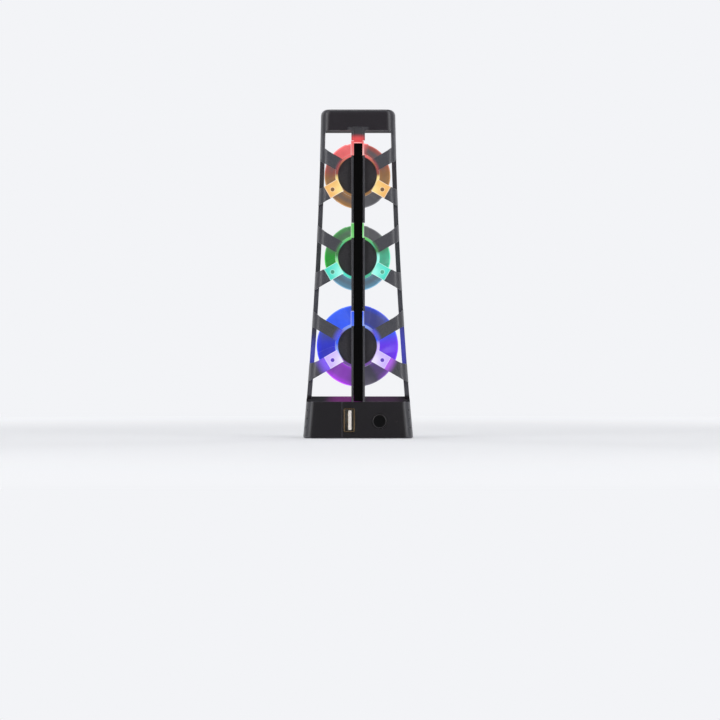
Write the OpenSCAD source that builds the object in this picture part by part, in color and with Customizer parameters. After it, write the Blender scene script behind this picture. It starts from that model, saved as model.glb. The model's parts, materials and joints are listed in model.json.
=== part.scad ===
// Three-fan rear cooler for a games console.
// X runs to the right as seen from behind, Y runs into the console and Z runs up.
// The origin is on the centreline, in the plane that seats on the console, at the height of the plug's axis.
// Depths in this file are measured inwards from the rear face.

/* [Housing] */
// Depth from the rear face to the plane that seats on the console
depth = 28; // [27:0.5:34]
// Height of the housing above the plug's axis
height_above_plug = 174.5; // [172:0.5:184]
// Height of the housing below the plug's axis
height_below_plug = 9.8; // [9:0.1:14]
// Width at the very bottom
bottom_w = 61.8; // [58:0.1:68]
// Width at the very top
top_w = 41.6; // [40.5:0.1:50]
// How far each side draws in at mid height
waist = 1.7; // [0:0.1:1.8]
// Wall thickness
wall = 2; // [1.6:0.05:2.1]
// Radius of the long rear edges
edge_r = 5.6; // [4:0.1:7]
// Radius of the top corners
top_corner_r = 3.3; // [2:0.1:5]
// Radius of the bottom corners
bottom_corner_r = 1.3; // [0.8:0.1:2.5]
// Height of the top of the control box above the plug's axis
box_top_z = 10.7; // [10.2:0.1:12]
// Rise of the control box's roof from the rear face to the seat
roof_rise = 2.8; // [0:0.1:3]
// Height of the underside of the top block
block_z = 162.8; // [161.5:0.1:165]
// Depth at which the side rails start, seen through the windows
rail_set = 14; // [10:0.5:18]
// Width of the side rails
rail_w = 2.5; // [2.2:0.05:2.8]

/* [Arms and rib] */
// Angle of the arms from the horizontal
arm_angle = 30; // [27:0.5:33]
// Width of the upper arms
upper_arm_w = 7; // [6:0.1:8]
// Width of the lower arms
lower_arm_w = 7.4; // [6.5:0.1:8]
// Width of the centre rib
rib_w = 7.6; // [7:0.1:8.4]
// Thickness of the rib's side walls
rib_wall = 1.2; // [0.9:0.05:1.4]
// How far the rib lies under the rear face
rib_recess = 0.6; // [0.4:0.05:0.8]
// Depth at which the rib's floor starts
rib_floor_d = 2.2; // [2.1:0.05:2.3]
// Thickness of the rib's floor
rib_floor_t = 0.8; // [0.6:0.05:0.9]
// Clearance between a loose piece and its seat
fit_gap = 0.1; // [0.05:0.01:0.15]
// Thickness of the wire cover strip
strip_t = 0.9; // [0.7:0.05:1]
// Depth of the wire cover's face under the rear face
strip_recess = 0.3; // [0.2:0.05:0.35]
// Height of the upper end of the wire cover
strip_top_z = 155.6; // [154:0.1:158]

/* [Fans] */
// Sideways place of the fans' axes
fan_x = -0.4; // [-0.5:0.1:0.5]
// Height of the top fan's axis
top_fan_z = 137.7; // [137:0.1:138.5]
// Height of the middle fan's axis
middle_fan_z = 91.5; // [88:0.1:93]
// Height of the bottom fan's axis
bottom_fan_z = 42.1; // [41:0.1:43]
// Tip radius of the two small rotors
small_rotor_r = 18.5; // [17:0.1:18.5]
// Tip radius of the large rotor
large_rotor_r = 22.9; // [20:0.05:23]
// Number of blades on each rotor
blade_count = 9; // [7:1:9]
// Thickness of a blade
blade_t = 0.7; // [0.5:0.05:0.9]
// Axial height of a blade
blade_h = 7; // [5:0.1:7.2]
// Angle that one blade spans round the hub
blade_span = 42; // [26:1:44]
// Angle that a blade sweeps forward from root to tip
blade_sweep = 12; // [0:1:18]
// Bow of a blade along the axis
blade_camber = 0.9; // [0:0.1:1.2]
// Radius of the clear base disc
base_r = 12.5; // [12.2:0.05:12.7]
// Depth at which the base disc starts
base_d = 3.4; // [3.35:0.05:3.6]
// Thickness of the base disc
base_t = 1.6; // [1.4:0.05:1.7]
// Radius of the plain disc label on the base
label_r = 10.9; // [9.5:0.1:10.9]
// Thickness of the disc label
label_t = 0.2; // [0.15:0.01:0.25]
// Inner radius at which the fixing tabs start
tab_start_r = 11.1; // [11:0.05:11.4]
// Radius at which the fixing tabs end
tab_end_r = 19.5; // [19:0.1:20]
// Thickness of the two screwed tabs
tab_t = 2; // [1.8:0.05:2]
// Distance of a fixing screw from the end of its tab
tab_screw_inset = 3.4; // [3:0.1:4]
// Thickness of the ledge under a screwed tab
ledge_t = 2; // [1.6:0.05:2.2]
// Radius of the peg that locates the upper tab
peg_r = 0.9; // [0.7:0.05:1.1]

/* [Motor] */
// Outer radius of the rotor hub
hub_r = 11.8; // [11.7:0.05:12]
// Wall of the rotor hub
hub_wall = 1.15; // [1:0.05:1.2]
// Depth of the rotor hub's open rim
hub_d = 5.4; // [5.35:0.05:5.6]
// Axial height of the rotor hub
hub_h = 7.8; // [7.6:0.05:8.5]
// Wall of the steel rotor cup
cup_wall = 0.55; // [0.4:0.05:0.6]
// Thickness of the magnet ring
magnet_t = 1.3; // [1:0.05:1.35]
// Axial height of the magnet ring
magnet_h = 5; // [4:0.1:5]
// Outer radius of the stator core
core_r = 8.3; // [7.8:0.05:8.4]
// Stack height of the stator core
core_h = 3.2; // [2.6:0.1:3.4]
// Number of stator poles
pole_count = 4; // [4:2:6]
// Width of a pole's neck
pole_neck_w = 1.8; // [1.4:0.1:2]
// Radial thickness of a pole's shoe
pole_shoe_t = 0.9; // [0.7:0.05:1]
// Angle that a pole's shoe spans
pole_shoe_span = 56; // [40:1:56]
// Thickness of the wire wound on a pole
coil_t = 0.8; // [0.5:0.05:0.8]
// Outer radius of the bearing tube
tube_r = 3.1; // [3.05:0.05:3.3]
// Outer radius of the sleeve bearing
bearing_r = 2.55; // [2.3:0.05:2.6]
// Axial length of the sleeve bearing
bearing_h = 4.1; // [3.6:0.1:4.1]
// Radius of the rotor shaft
shaft_r = 1; // [0.9:0.05:1.1]
// Radial running clearance of the shaft
shaft_gap = 0.03; // [0.02:0.005:0.05]
// Outer radius of the shaft's retaining ring
clip_r = 1.9; // [1.7:0.05:2]
// Thickness of the retaining ring
clip_t = 0.3; // [0.2:0.05:0.3]
// Outer radius of the fan's circuit board
fan_board_r = 9.6; // [9:0.05:9.7]
// Thickness of the fan's circuit board
fan_board_t = 0.8; // [0.6:0.1:0.8]
// Side of a light-emitting diode
led_w = 2; // [1.6:0.1:2.2]
// Height of a light-emitting diode
led_h = 0.6; // [0.4:0.05:0.7]
// Radius at which the diodes lie
led_at_r = 8.2; // [7.6:0.1:8.3]

/* [Control box] */
// Depth of the main board's rear side
board_d = 18.4; // [18:0.1:19]
// Thickness of the main board
board_t = 1.6; // [1:0.1:1.6]
// Gap between the main board's ends and the side walls
board_gap = 1.2; // [0.5:0.1:2.4]
// Height of the main board
board_h = 15; // [14:0.1:15.4]
// Distance of the board's screws from the inner side walls
post_inset = 4.1; // [3.4:0.1:5.2]
// Height of the upper screws above the plug's axis
post_upper_z = 5.4; // [5:0.1:5.6]
// Depth of the lower screws below the plug's axis
post_lower_z = 4.6; // [4.2:0.1:4.8]
// Radius of the screw posts
post_r = 2.3; // [2:0.05:2.4]
// Thickness of the front covers
cover_t = 2; // [1.6:0.1:2.2]
// Distance of the top cover's screws from the inner side walls
top_post_inset = 5.6; // [4:0.1:6]
// Radius of a cover screw's shank
screw_r = 1; // [0.8:0.05:1.1]
// Radius of a cover screw's head
screw_head_r = 1.9; // [1.7:0.05:2]
// Height of a cover screw's head
screw_head_h = 1.1; // [0.8:0.05:1.2]
// Length of a cover screw's thread past the board
screw_bite = 7; // [5:0.5:9]
// Radius of a fan screw's shank
fan_screw_r = 0.7; // [0.6:0.02:0.8]
// Radius of a fan screw's head
fan_screw_head_r = 1.15; // [1:0.05:1.3]
// Height of a fan screw's head
fan_screw_head_h = 0.7; // [0.5:0.05:0.8]
// Length of each hook that grips the console's vent
hook_l = 5; // [4:0.1:6]
// Width of each hook
hook_w = 6; // [4:0.5:8]
// Thickness of each hook
hook_t = 1.6; // [1.2:0.1:2]
// Drop of each hook's lip
hook_lip = 1.6; // [1:0.1:2]
// Gap between each hook and the screw head beside it
hook_gap = 2; // [1:0.1:3]

/* [Ports] */
// Sideways place of the socket in the rear face
port_x = -5; // [-5.4:0.1:-4.4]
// Height of the socket's axis above the plug's axis
port_z = 0.4; // [0:0.1:0.5]
// Width of the socket's shell
port_w = 5.9; // [5.7:0.1:6]
// Height of the socket's shell
port_h = 13.1; // [12.9:0.1:13.2]
// Thickness of the socket's shell
port_shell_t = 0.35; // [0.3:0.05:0.4]
// How far the socket's lip stands out of the rear face
port_lip = 0.2; // [0.1:0.05:0.3]
// Thickness of the socket's tongue
tongue_t = 1.84; // [1.7:0.02:2]
// Width of the socket's tongue
tongue_w = 11.1; // [10.8:0.1:11.3]
// Sideways offset of the tongue inside the socket
tongue_x = 0.36; // [0.3:0.02:0.6]
// Length of the tongue
tongue_l = 9; // [8:0.1:10]
// Sideways place of the plug
plug_x = -8; // [-8.4:0.1:-7.6]
// Width of the plug's shell
plug_w = 4.5; // [4.4:0.05:4.6]
// Height of the plug's shell
plug_h = 12; // [11.9:0.05:12.1]
// Length of the plug past the seat
plug_l = 12; // [11.5:0.1:12.5]
// Thickness of the plug's shell
plug_shell_t = 0.3; // [0.25:0.05:0.35]
// Thickness of the plug's insulator
plug_core_t = 1.95; // [1.8:0.05:2]
// Width of a contact strip
contact_w = 1; // [0.8:0.1:1.2]
// Thickness of a contact strip
contact_t = 0.25; // [0.15:0.05:0.3]

/* [Button] */
// Sideways place of the button
button_x = 12; // [11.6:0.1:12.6]
// Radius of the button's cap
button_r = 4.05; // [3.6:0.05:4.2]
// Gap round the button's cap
button_gap = 0.2; // [0.15:0.05:0.3]
// How far the cap lies under the rear face
button_recess = 0.5; // [0.3:0.05:0.6]
// Length of the cap's wide part
button_cap_l = 4.2; // [3.8:0.1:4.8]
// Extra radius of the flange that holds the cap in
button_flange = 0.7; // [0.5:0.05:0.9]
// Thickness of that flange
button_flange_t = 1; // [0.8:0.1:1.2]
// Travel of the button
button_travel = 0.5; // [0.3:0.05:0.6]
// Radius of the cap's stem
stem_r = 1.9; // [1.6:0.05:2.2]
// Side of the push switch
switch_w = 6; // [5.6:0.1:6.2]
// Height of the push switch's body
switch_h = 3.5; // [3:0.1:3.6]
// Radius of the switch's plunger
plunger_r = 1.6; // [1.4:0.05:1.7]
// Length of the plunger outside the switch
plunger_l = 5; // [4:0.1:5.5]
// Gap between the button's flange and the middle of the status light
status_gap = 4.7; // [3.5:0.1:5]
// Radius of the status light
status_r = 0.5; // [0.4:0.05:0.6]

/* [Wires] */
// Width of a flat two-core fan lead
lead_w = 1.4; // [1.2:0.05:1.45]
// Thickness of a fan lead
lead_t = 0.7; // [0.5:0.05:0.75]
// Sideways spacing of the leads under the wire cover
lead_pitch = 1.65; // [1.6:0.01:1.7]
// Sideways spacing of the lead sockets
socket_pitch = 3.6; // [3.5:0.05:3.8]
// Width of a lead socket
socket_w = 3.2; // [3:0.05:3.3]
// Height of a lead socket on the board
socket_h = 4.4; // [3.8:0.1:4.8]

/* [Hidden] */
$fn = 48;

// How far a cut runs past the face that it opens
overrun = 1;
// How far two fused solids reach into each other
fuse = 0.2;

fan_z = [top_fan_z, middle_fan_z, bottom_fan_z];
rotor_r = [small_rotor_r, small_rotor_r, large_rotor_r];
full_height = height_above_plug + height_below_plug;
box_floor_z = wall - height_below_plug;
block_floor_z = block_z + wall;
block_roof_z = height_above_plug - wall;
rib_in_w = rib_w - 2 * rib_wall;
strip_w = rib_in_w - 4 * fit_gap;
rib_end_d = rib_floor_d + rib_floor_t;
base_end_d = base_d + base_t;
// Height of the control box's sloped roof at depth d, and of the ceiling under it
function roof_z(d) = box_top_z + roof_rise * d / depth;
function ceiling_z(d) = roof_z(d) - wall;
upper_angles = [arm_angle, 180 - arm_angle];
lower_angles = [180 + arm_angle, 360 - arm_angle];

// Width of the slot left clear at the sides of the top window
window_margin = 2.25;
window_corner_r = 3;
box_corner_r = 5;
box_corner_reach = 1;
// Height of the notch that the rib makes in the top block
notch_h = 2.1;
// Width of the level step on each side of the notch, and of the slope that ends it
notch_side_w = 1.3;
notch_slope_w = 1.6;
shoulder_r = 0.6;
arm_tip_r = 11.5;
arm_tip_lug = 1;
arm_end_gap = 0.3;
arm_block_l = 1.7;
tab_recess = 0.3;
tab_screw_r = tab_end_r - tab_screw_inset;
ledge_start_r = base_r + arm_end_gap + fit_gap;
seam_x = -9;
seam_w = 0.25;
seam_d = 0.25;
dimple_r = 0.55;
dimple_depth = 0.7;
dimple_inset = 1.3;
dimple_zs = [for (share = [0.62, 0.12, -0.38]) share * height_below_plug];
lead_hole_r = 8.4;
lead_hole_w = 1.8;
lead_hole_h = 1.3;
lead_exit_l = 5;
lead_exit_w = 2 * lead_pitch + lead_w + fit_gap / 2;
roof_slot_d = 3.8;
roof_slot_w = 2.6;

// Half the width of the housing at height z
function half_w(z) = let (u = (z + height_below_plug) / full_height)
    bottom_w / 2 + (top_w - bottom_w) / 2 * u - 4 * waist * u * (1 - u);

// One level of the housing: a rectangle with two round rear corners, drawn in by inset
function level(z, thin, inset, sink) =
    let (h = half_w(z) - thin - inset, r = max(edge_r - thin - inset, r_least), y = thin + sink - depth, n = corner_steps)
    concat(
        [[h, thin > 0 ? overrun : 0, z], [-h, thin > 0 ? overrun : 0, z]],
        [for (i = [0:n]) let (a = 180 + 90 * i / n) [-h + r + r * cos(a), y + r + r * sin(a), z]],
        [for (i = [0:n]) let (a = 270 + 90 * i / n) [h - r + r * cos(a), y + r + r * sin(a), z]]);
r_least = 0.5;
corner_steps = 8;
side_steps = 12;
round_steps = 4;
// Share of the corner rounding that also eases the rear face's ends
ease_share = 0.35;

module loft(levels) {
    n = len(levels[0]);
    last = len(levels) - 1;
    polyhedron(
        points = [for (l = levels) each l],
        faces = concat(
            [[for (i = [0:n - 1]) i]],
            [[for (i = [n - 1:-1:0]) last * n + i]],
            [for (k = [0:last - 1]) for (i = [0:n - 1]) let (j = (i + 1) % n) each
                [[k * n + i, (k + 1) * n + i, k * n + j], [k * n + j, (k + 1) * n + i, (k + 1) * n + j]]]));
}

module outer_form() {
    low = -height_below_plug;
    high = height_above_plug;
    rb = bottom_corner_r;
    rt = top_corner_r;
    loft(concat(
        [for (i = [0:round_steps]) let (a = 90 * i / round_steps, inset = rb * (1 - sin(a)))
            level(low + rb * (1 - cos(a)), 0, inset, inset)],
        [for (i = [1:side_steps - 1]) level(low + rb + (full_height - rb - rt) * i / side_steps, 0, 0, 0)],
        [for (i = [0:round_steps]) let (a = 90 * i / round_steps, inset = rt * (1 - cos(a)))
            level(high - rt + rt * sin(a), 0, inset, ease_share * inset)]));
}

module inner_form() {
    low = box_floor_z;
    high = block_roof_z;
    loft([for (i = [0:side_steps]) level(low + (high - low) * i / side_steps, wall, 0, 0)]);
}

// Extrudes an outline in X and Z from depth d0 to depth d1
module slab(d0, d1) {
    translate([0, d1 - depth, 0]) rotate([90, 0, 0]) linear_extrude(d1 - d0) children();
}

// A round bar along Y from depth d0 to depth d1
module bar(r, d0, d1, x = 0, z = 0) {
    translate([x, d0 - depth, z]) rotate([-90, 0, 0]) cylinder(r = r, h = d1 - d0);
}

module ring(r_out, r_in, d0, d1, x = 0, z = 0) {
    difference() {
        bar(r_out, d0, d1, x, z);
        bar(r_in, d0 - overrun, d1 + overrun, x, z);
    }
}

// A rectangle with round corners about the origin
module round_rect(w, h, r) {
    square([w, h - 2 * r], center = true);
    square([w - 2 * r, h], center = true);
    for (sx = [-1, 1], sz = [-1, 1]) translate([sx * (w / 2 - r), sz * (h / 2 - r)]) circle(r);
}

// A straight strip that starts at radius r0 from a fan's axis and runs outwards at an angle
module spoke(fan, angle, w, r0, r1) {
    translate([fan_x, fan_z[fan]]) rotate(angle) translate([r0, -w / 2]) square([r1 - r0, w]);
}

// Place on a circle round a fan's axis
function at(fan, angle, r) = [fan_x + r * cos(angle), fan_z[fan] + r * sin(angle)];

reach = bottom_w;
// How far the cover strip's lower end lies above the edge of the control box
strip_lift = 0.3;

module all_arms() {
    for (fan = [0:2]) {
        for (a = upper_angles) spoke(fan, a, upper_arm_w, arm_tip_r, reach);
        for (a = lower_angles) spoke(fan, a, lower_arm_w, tab_end_r + arm_end_gap, reach);
        for (s = [-1, 1]) {
            arm_flare(fan, s, 1, upper_arm_w);
            arm_flare(fan, s, -1, lower_arm_w);
        }
    }
}

// Height of an arm's upper edge at x; rise is 1 for an upper arm, -1 for a lower one
function edge_z(fan, side, rise, w, x) =
    fan_z[fan] + w / 2 / cos(arm_angle) + rise * tan(arm_angle) * (x - side * fan_x);

// Curve that widens an arm's upper edge where it meets the side
module arm_flare(fan, side, rise, w) {
    end_x = half_w(edge_z(fan, side, rise, w, half_w(fan_z[fan])));
    start_x = rise > 0 ? end_x - flare_l : max(end_x - flare_l, side * fan_x + tab_corner_x);
    last_x = end_x + overrun;
    high = flare_h * (end_x - start_x) / flare_l;
    outline = concat(
        [for (i = [0:flare_steps]) let (x = start_x + (end_x - start_x) * i / flare_steps)
            [x, edge_z(fan, side, rise, w, x) + high * pow(i / flare_steps, 2)]],
        [[last_x, edge_z(fan, side, rise, w, last_x) + high],
         [last_x, edge_z(fan, side, rise, w, last_x) - fuse],
         [start_x, edge_z(fan, side, rise, w, start_x) - fuse]]);
    polygon([for (p = outline) [side * p.x, p.y]]);
}
flare_l = 6;
flare_h = 1.6;
flare_steps = 6;
// Distance sideways from a fan's axis to the gap past the upper corner of a screwed tab
tab_corner_x = (tab_end_r + arm_end_gap) * cos(arm_angle) + lower_arm_w / 2 * sin(arm_angle);

// Outline of everything between the control box and the top block
module fan_zone() {
    side = bottom_w / 2 + overrun;
    corner_x = half_w(box_top_z) + box_corner_reach;
    rc = box_corner_r;
    rw = window_corner_r;
    margin_x = half_w(block_z) - window_margin;
    rise = (upper_arm_w / 2 - fuse) / cos(arm_angle);
    right = concat(
        [for (i = [0:corner_steps]) let (a = 270 + 90 * i / corner_steps)
            [corner_x - rc + rc * cos(a), box_top_z + rc + rc * sin(a)]],
        [[side, box_top_z + rc],
         [side, top_fan_z + rise + side * tan(arm_angle)],
         [margin_x, top_fan_z + rise + margin_x * tan(arm_angle)]],
        [for (i = [0:corner_steps]) let (a = 90 * i / corner_steps)
            [margin_x - rw + rw * cos(a), block_z - rw + rw * sin(a)]]);
    polygon(concat(right, [for (i = [len(right) - 1:-1:0]) [-right[i].x, right[i].y]]));
}

module rib() {
    low = ceiling_z(rib_end_d);
    high = block_z + notch_h;
    difference() {
        union() {
            slab(rib_floor_d, rib_end_d) translate([-rib_w / 2, low]) square([rib_w, block_floor_z - low]);
            for (s = [-1, 1])
                slab(rib_recess, rib_end_d)
                    translate([s * (rib_w - rib_wall) / 2 - rib_wall / 2, box_top_z - fuse])
                        square([rib_wall, high - box_top_z + fuse]);
            slab(rib_recess + strip_t, rib_end_d)
                translate([-rib_w / 2, strip_top_z + fit_gap]) square([rib_w, high - strip_top_z - fit_gap]);
        }
        for (fan = [0:2]) {
            // The rib narrows to the wire cover's width where a lit tab lies under it
            for (s = [-1, 1])
                slab(-overrun, rib_end_d + overrun)
                    translate([s * (strip_w / 2 + rib_w / 2) - rib_w / 2, fan_z[fan] + tab_start_r])
                        square([rib_w, tab_end_r - tab_start_r]);
            lead_slot(fan, rib_floor_d - overrun, rib_end_d + overrun);
        }
        slab(rib_floor_d - overrun, rib_end_d + overrun)
            translate([-lead_exit_w / 2, box_top_z + fuse]) square([lead_exit_w, lead_exit_l]);
    }
    for (fan = [0:2]) bar(peg_r, rib_end_d - fuse, base_end_d, fan_x, fan_z[fan] + tab_screw_r);
    // Shoulders that join the rib to the top block
    for (s = [-1, 1])
        slab(rib_recess, rib_floor_d)
            difference() {
                translate([s * (rib_w + shoulder_r) / 2 - shoulder_r / 2, block_z - shoulder_r])
                    square([shoulder_r, shoulder_r + fuse]);
                translate([s * (rib_w / 2 + shoulder_r), block_z - shoulder_r]) circle(shoulder_r);
            }
}

module ledges() {
    start = tab_recess + tab_t + fit_gap / 2;
    for (fan = [0:2]) for (a = lower_angles) {
        slab(start, start + ledge_t) spoke(fan, a, lower_arm_w, ledge_start_r, tab_end_r + arm_end_gap + arm_block_l);
        slab(wall - fuse, start + ledge_t)
            spoke(fan, a, lower_arm_w, tab_end_r + arm_end_gap, tab_end_r + arm_end_gap + arm_block_l);
    }
    for (fan = [0:2]) for (a = upper_angles)
        slab(wall - fuse, base_d - fit_gap) spoke(fan, a, upper_arm_w, arm_tip_r, arm_tip_r + arm_tip_lug);
}

post_x = half_w(post_upper_z) - wall - post_inset;
status_x = button_x + button_r + button_flange + status_gap;
board_mid_z = (box_floor_z + box_top_z - wall) / 2;
board_w = 2 * (half_w(board_mid_z + board_h / 2) - wall - board_gap);
post_places = [for (s = [-1, 1], z = [post_upper_z, -post_lower_z]) [s * post_x, z]];
top_post_z = (block_floor_z + block_roof_z) / 2;
top_post_x = half_w(top_post_z) - wall - top_post_inset;
top_post_places = [for (s = [-1, 1]) [s * top_post_x, top_post_z]];
top_post_end_d = depth - cover_t - fit_gap;
hook_x = top_post_x - screw_head_r - hook_gap - hook_w / 2;
button_z = -0.2;
status_z = 0;

module posts() {
    for (p = post_places) bar(post_r, wall - fuse, board_d, p.x, p.y);
    for (p = top_post_places) bar(post_r, wall - fuse, top_post_end_d, p.x, p.y);
}

module screw_holes() {
    for (p = post_places) bar(screw_r + fit_gap / 4, board_d - screw_bite - overrun, board_d + overrun, p.x, p.y);
    for (p = top_post_places)
        bar(screw_r + fit_gap / 4, top_post_end_d - screw_bite - overrun, top_post_end_d + overrun, p.x, p.y);
    for (fan = [0:2]) for (a = lower_angles) {
        p = at(fan, a, tab_screw_r);
        bar(fan_screw_r + fit_gap / 4, tab_recess, tab_recess + tab_t + ledge_t + overrun, p.x, p.y);
    }
}

module face_cuts() {
    slab(-overrun, wall + overrun)
        translate([port_x, port_z]) square([port_w + 2 * fit_gap, port_h + 2 * fit_gap], center = true);
    bar(button_r + button_gap, -overrun, wall + overrun, button_x, button_z);
    bar(status_r + fit_gap / 4, -overrun, wall + overrun, status_x, status_z);
    slab(-overrun, seam_d)
        translate([seam_x - seam_w / 2, bottom_corner_r - height_below_plug])
            square([seam_w, full_seam_h]);
    for (s = [-1, 1], z = dimple_zs) {
        x = half_w(z) - dimple_inset;
        skin = edge_r - sqrt(pow(edge_r, 2) - pow(edge_r - dimple_inset, 2));
        bar(dimple_r, -overrun, skin + dimple_depth, s * x, z);
    }
    // Notch that lets the rib run up into the top block
    slab(-overrun, rib_recess + strip_t) translate([-rib_w / 2, block_z - fuse]) square([rib_w, notch_h + fuse]);
    // Shallow step beside the notch, with a slope at each end
    step_x = rib_w / 2 + notch_side_w;
    slope_x = step_x + notch_slope_w * (rib_recess + overrun) / rib_recess;
    translate([0, -depth, block_z - fuse]) linear_extrude(notch_h + fuse)
        polygon([[-step_x, rib_recess], [step_x, rib_recess], [slope_x, -overrun], [-slope_x, -overrun]]);
    // Slot that lets the fan leads into the control box
    slab(roof_slot_d, roof_slot_d + roof_slot_w)
        translate([-rib_in_w / 2, ceiling_z(roof_slot_d) - overrun]) square([rib_in_w, wall + 2 * overrun]);
}
full_seam_h = height_below_plug - bottom_corner_r + box_top_z - wall / 2;

module box_roof() {
    d = wall - fuse;
    translate([-reach, 0, 0]) rotate([90, 0, 90]) linear_extrude(2 * reach)
        polygon([[d - depth, ceiling_z(d)], [0, ceiling_z(depth)], [0, roof_z(depth)], [d - depth, roof_z(d)]]);
}

// Inner faces that bring the side walls up to the rails' width
module side_rails() {
    low = roof_z(rail_set) - fuse;
    rise = (block_z + fuse - low) / side_steps;
    for (s = [-1, 1])
        slab(rail_set, depth) polygon(concat(
            [for (i = [0:side_steps]) let (z = low + i * rise) [s * (half_w(z) - rail_w), z]],
            [for (i = [side_steps:-1:0]) let (z = low + i * rise) [s * (half_w(z) - wall + fuse), z]]));
}

module rear_housing() {
    color([0.15, 0.15, 0.16])
    difference() {
        union() {
            difference() {
                outer_form();
                inner_form();
                slab(-overrun, rail_set) difference() {
                    fan_zone();
                    all_arms();
                }
            }
            // Roof of the control box, floor of the top block and the ledges that carry the fans
            intersection() {
                outer_form();
                union() {
                    box_roof();
                    slab(wall - fuse, depth) translate([-reach, block_z]) square([2 * reach, wall]);
                    ledges();
                    side_rails();
                }
            }
            posts();
        }
        face_cuts();
        screw_holes();
    }
    color([0.15, 0.15, 0.16]) rib();
}

// Outline that fills the housing's inside between two heights
module inner_outline(z0, z1, gap) {
    polygon([
        [-half_w(z0) + wall + gap, z0 + gap], [half_w(z0) - wall - gap, z0 + gap],
        [half_w(z1) - wall - gap, z1 - gap], [-half_w(z1) + wall + gap, z1 - gap]]);
}

module cover_hole(p, d0) {
    bar(screw_r + fit_gap, d0 - overrun, depth + overrun, p.x, p.y);
    bar(screw_head_r + fit_gap, depth - screw_head_h - fit_gap, depth + overrun, p.x, p.y);
}

plug_hole_gap = 0.3;

module control_box_cover() {
    color([0.13, 0.13, 0.14])
    difference() {
        union() {
            slab(depth - cover_t, depth) inner_outline(box_floor_z, ceiling_z(depth - cover_t), fit_gap);
            for (p = post_places) bar(post_r, board_d + board_t, depth - cover_t + fuse, p.x, p.y);
        }
        for (p = post_places) cover_hole(p, board_d + board_t);
        slab(depth - cover_t - overrun, depth + overrun)
            translate([plug_x, 0]) square([plug_w + 2 * plug_hole_gap, plug_h + 2 * plug_hole_gap], center = true);
    }
}

module hook(s) {
    z = top_post_z - hook_t / 2;
    translate([s * hook_x - hook_w / 2, -cover_t, z]) cube([hook_w, cover_t + hook_l, hook_t]);
    translate([s * hook_x - hook_w / 2, hook_l - hook_t, z - hook_lip]) cube([hook_w, hook_t, hook_lip + fuse]);
}

module top_cover() {
    color([0.13, 0.13, 0.14]) {
        difference() {
            slab(depth - cover_t, depth) inner_outline(block_floor_z, block_roof_z, fit_gap);
            for (p = top_post_places) cover_hole(p, depth - cover_t);
        }
        for (s = [-1, 1]) hook(s);
    }
}

module wire_cover_strip() {
    color([0.02, 0.02, 0.02])
    slab(strip_recess, strip_recess + strip_t)
        translate([-strip_w / 2, box_top_z + strip_lift]) square([strip_w, strip_top_z - box_top_z - strip_lift]);
}

// Cross recess in the head of a screw that lies along Y
module cross_cut(p, d0, d1, size) {
    slab(d0, d1) translate(p) {
        square([size, size / cross_share], center = true);
        square([size / cross_share, size], center = true);
    }
}
cross_share = 4;
cross_depth_share = 0.6;
cross_size_share = 1.2;

module cover_screws() {
    color([0.25, 0.25, 0.26]) {
        for (p = post_places) cover_screw(p, board_d - screw_bite);
        for (p = top_post_places) cover_screw(p, top_post_end_d - screw_bite);
    }
}

module cover_screw(p, tip) {
    head = depth - screw_head_h;
    difference() {
        union() {
            bar(screw_r, tip, head + fuse, p.x, p.y);
            bar(screw_head_r, head, depth - fit_gap, p.x, p.y);
        }
        cross_cut(p, depth - screw_head_h * cross_depth_share, depth + overrun, screw_head_r * cross_size_share);
    }
}

module fan_screws() {
    color([0.3, 0.3, 0.32])
    for (fan = [0:2]) for (a = lower_angles) {
        p = at(fan, a, tab_screw_r);
        difference() {
            union() {
                bar(fan_screw_head_r, tab_recess, tab_recess + fan_screw_head_h, p.x, p.y);
                bar(fan_screw_r, tab_recess + fan_screw_head_h - fuse, tab_recess + tab_t + ledge_t - fuse, p.x, p.y);
            }
            cross_cut(p, tab_recess - overrun, tab_recess + fan_screw_head_h * cross_depth_share,
                fan_screw_head_r * cross_size_share);
        }
    }
}

module main_board() {
    color([0.05, 0.3, 0.15])
    difference() {
        slab(board_d, board_d + board_t) translate([0, board_mid_z]) square([board_w, board_h], center = true);
        for (p = post_places) bar(screw_r + fit_gap, board_d - overrun, board_d + board_t + overrun, p.x, p.y);
    }
}

chip_w = 5;
chip_h = 4;
chip_t = 1.5;
// Clear space between the board's screw post and the controller chip
chip_post_gap = 1.5;
chip_x = -(post_x - post_r - chip_post_gap - chip_w / 2);
chip_z = 1.5;
// Clear space between the controller chip and the small parts above it
chip_gap = 0.6;
can_r = 2;
can_h = 5;
can_z = -4.2;
chip_small_w = 2;
chip_small_h = 1.25;
chip_small_t = 0.6;
chip_small_pitch = 2.6;
transistor_w = 3.6;
transistor_x = 1;
// Clear space between the push switch and the power transistor above it
transistor_gap = 0.6;

module board_components() {
    color([0.08, 0.08, 0.09]) {
        translate([chip_x, board_d - depth - chip_t / 2, chip_z]) cube([chip_w, chip_t, chip_h], center = true);
        bar(can_r, board_d - can_h, board_d, chip_x, can_z);
        for (i = [0:1])
            translate([chip_x + (i - 1 / 2) * chip_small_pitch, board_d - depth - chip_small_t / 2,
                chip_z + (chip_h + chip_small_h) / 2 + chip_gap])
                cube([chip_small_w, chip_small_t, chip_small_h], center = true);
        // Power transistor that feeds the fans
        translate([button_x + transistor_x, board_d - depth - chip_t / 2,
            button_z + (switch_w + transistor_w) / 2 + transistor_gap])
                cube([transistor_w, chip_t, transistor_w], center = true);
    }
}

socket_first_x = 0.6;
socket_z = 6.2;
socket_depth_z = 3;
function socket_x(fan) = socket_first_x + fan * socket_pitch;
function lead_x(fan) = (fan - 1) * lead_pitch;

module lead_sockets() {
    color([0.85, 0.82, 0.74])
    for (fan = [0:2])
        translate([socket_x(fan) - socket_w / 2, board_d - socket_h - depth, socket_z - socket_depth_z / 2])
            cube([socket_w, socket_h, socket_depth_z]);
}

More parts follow.
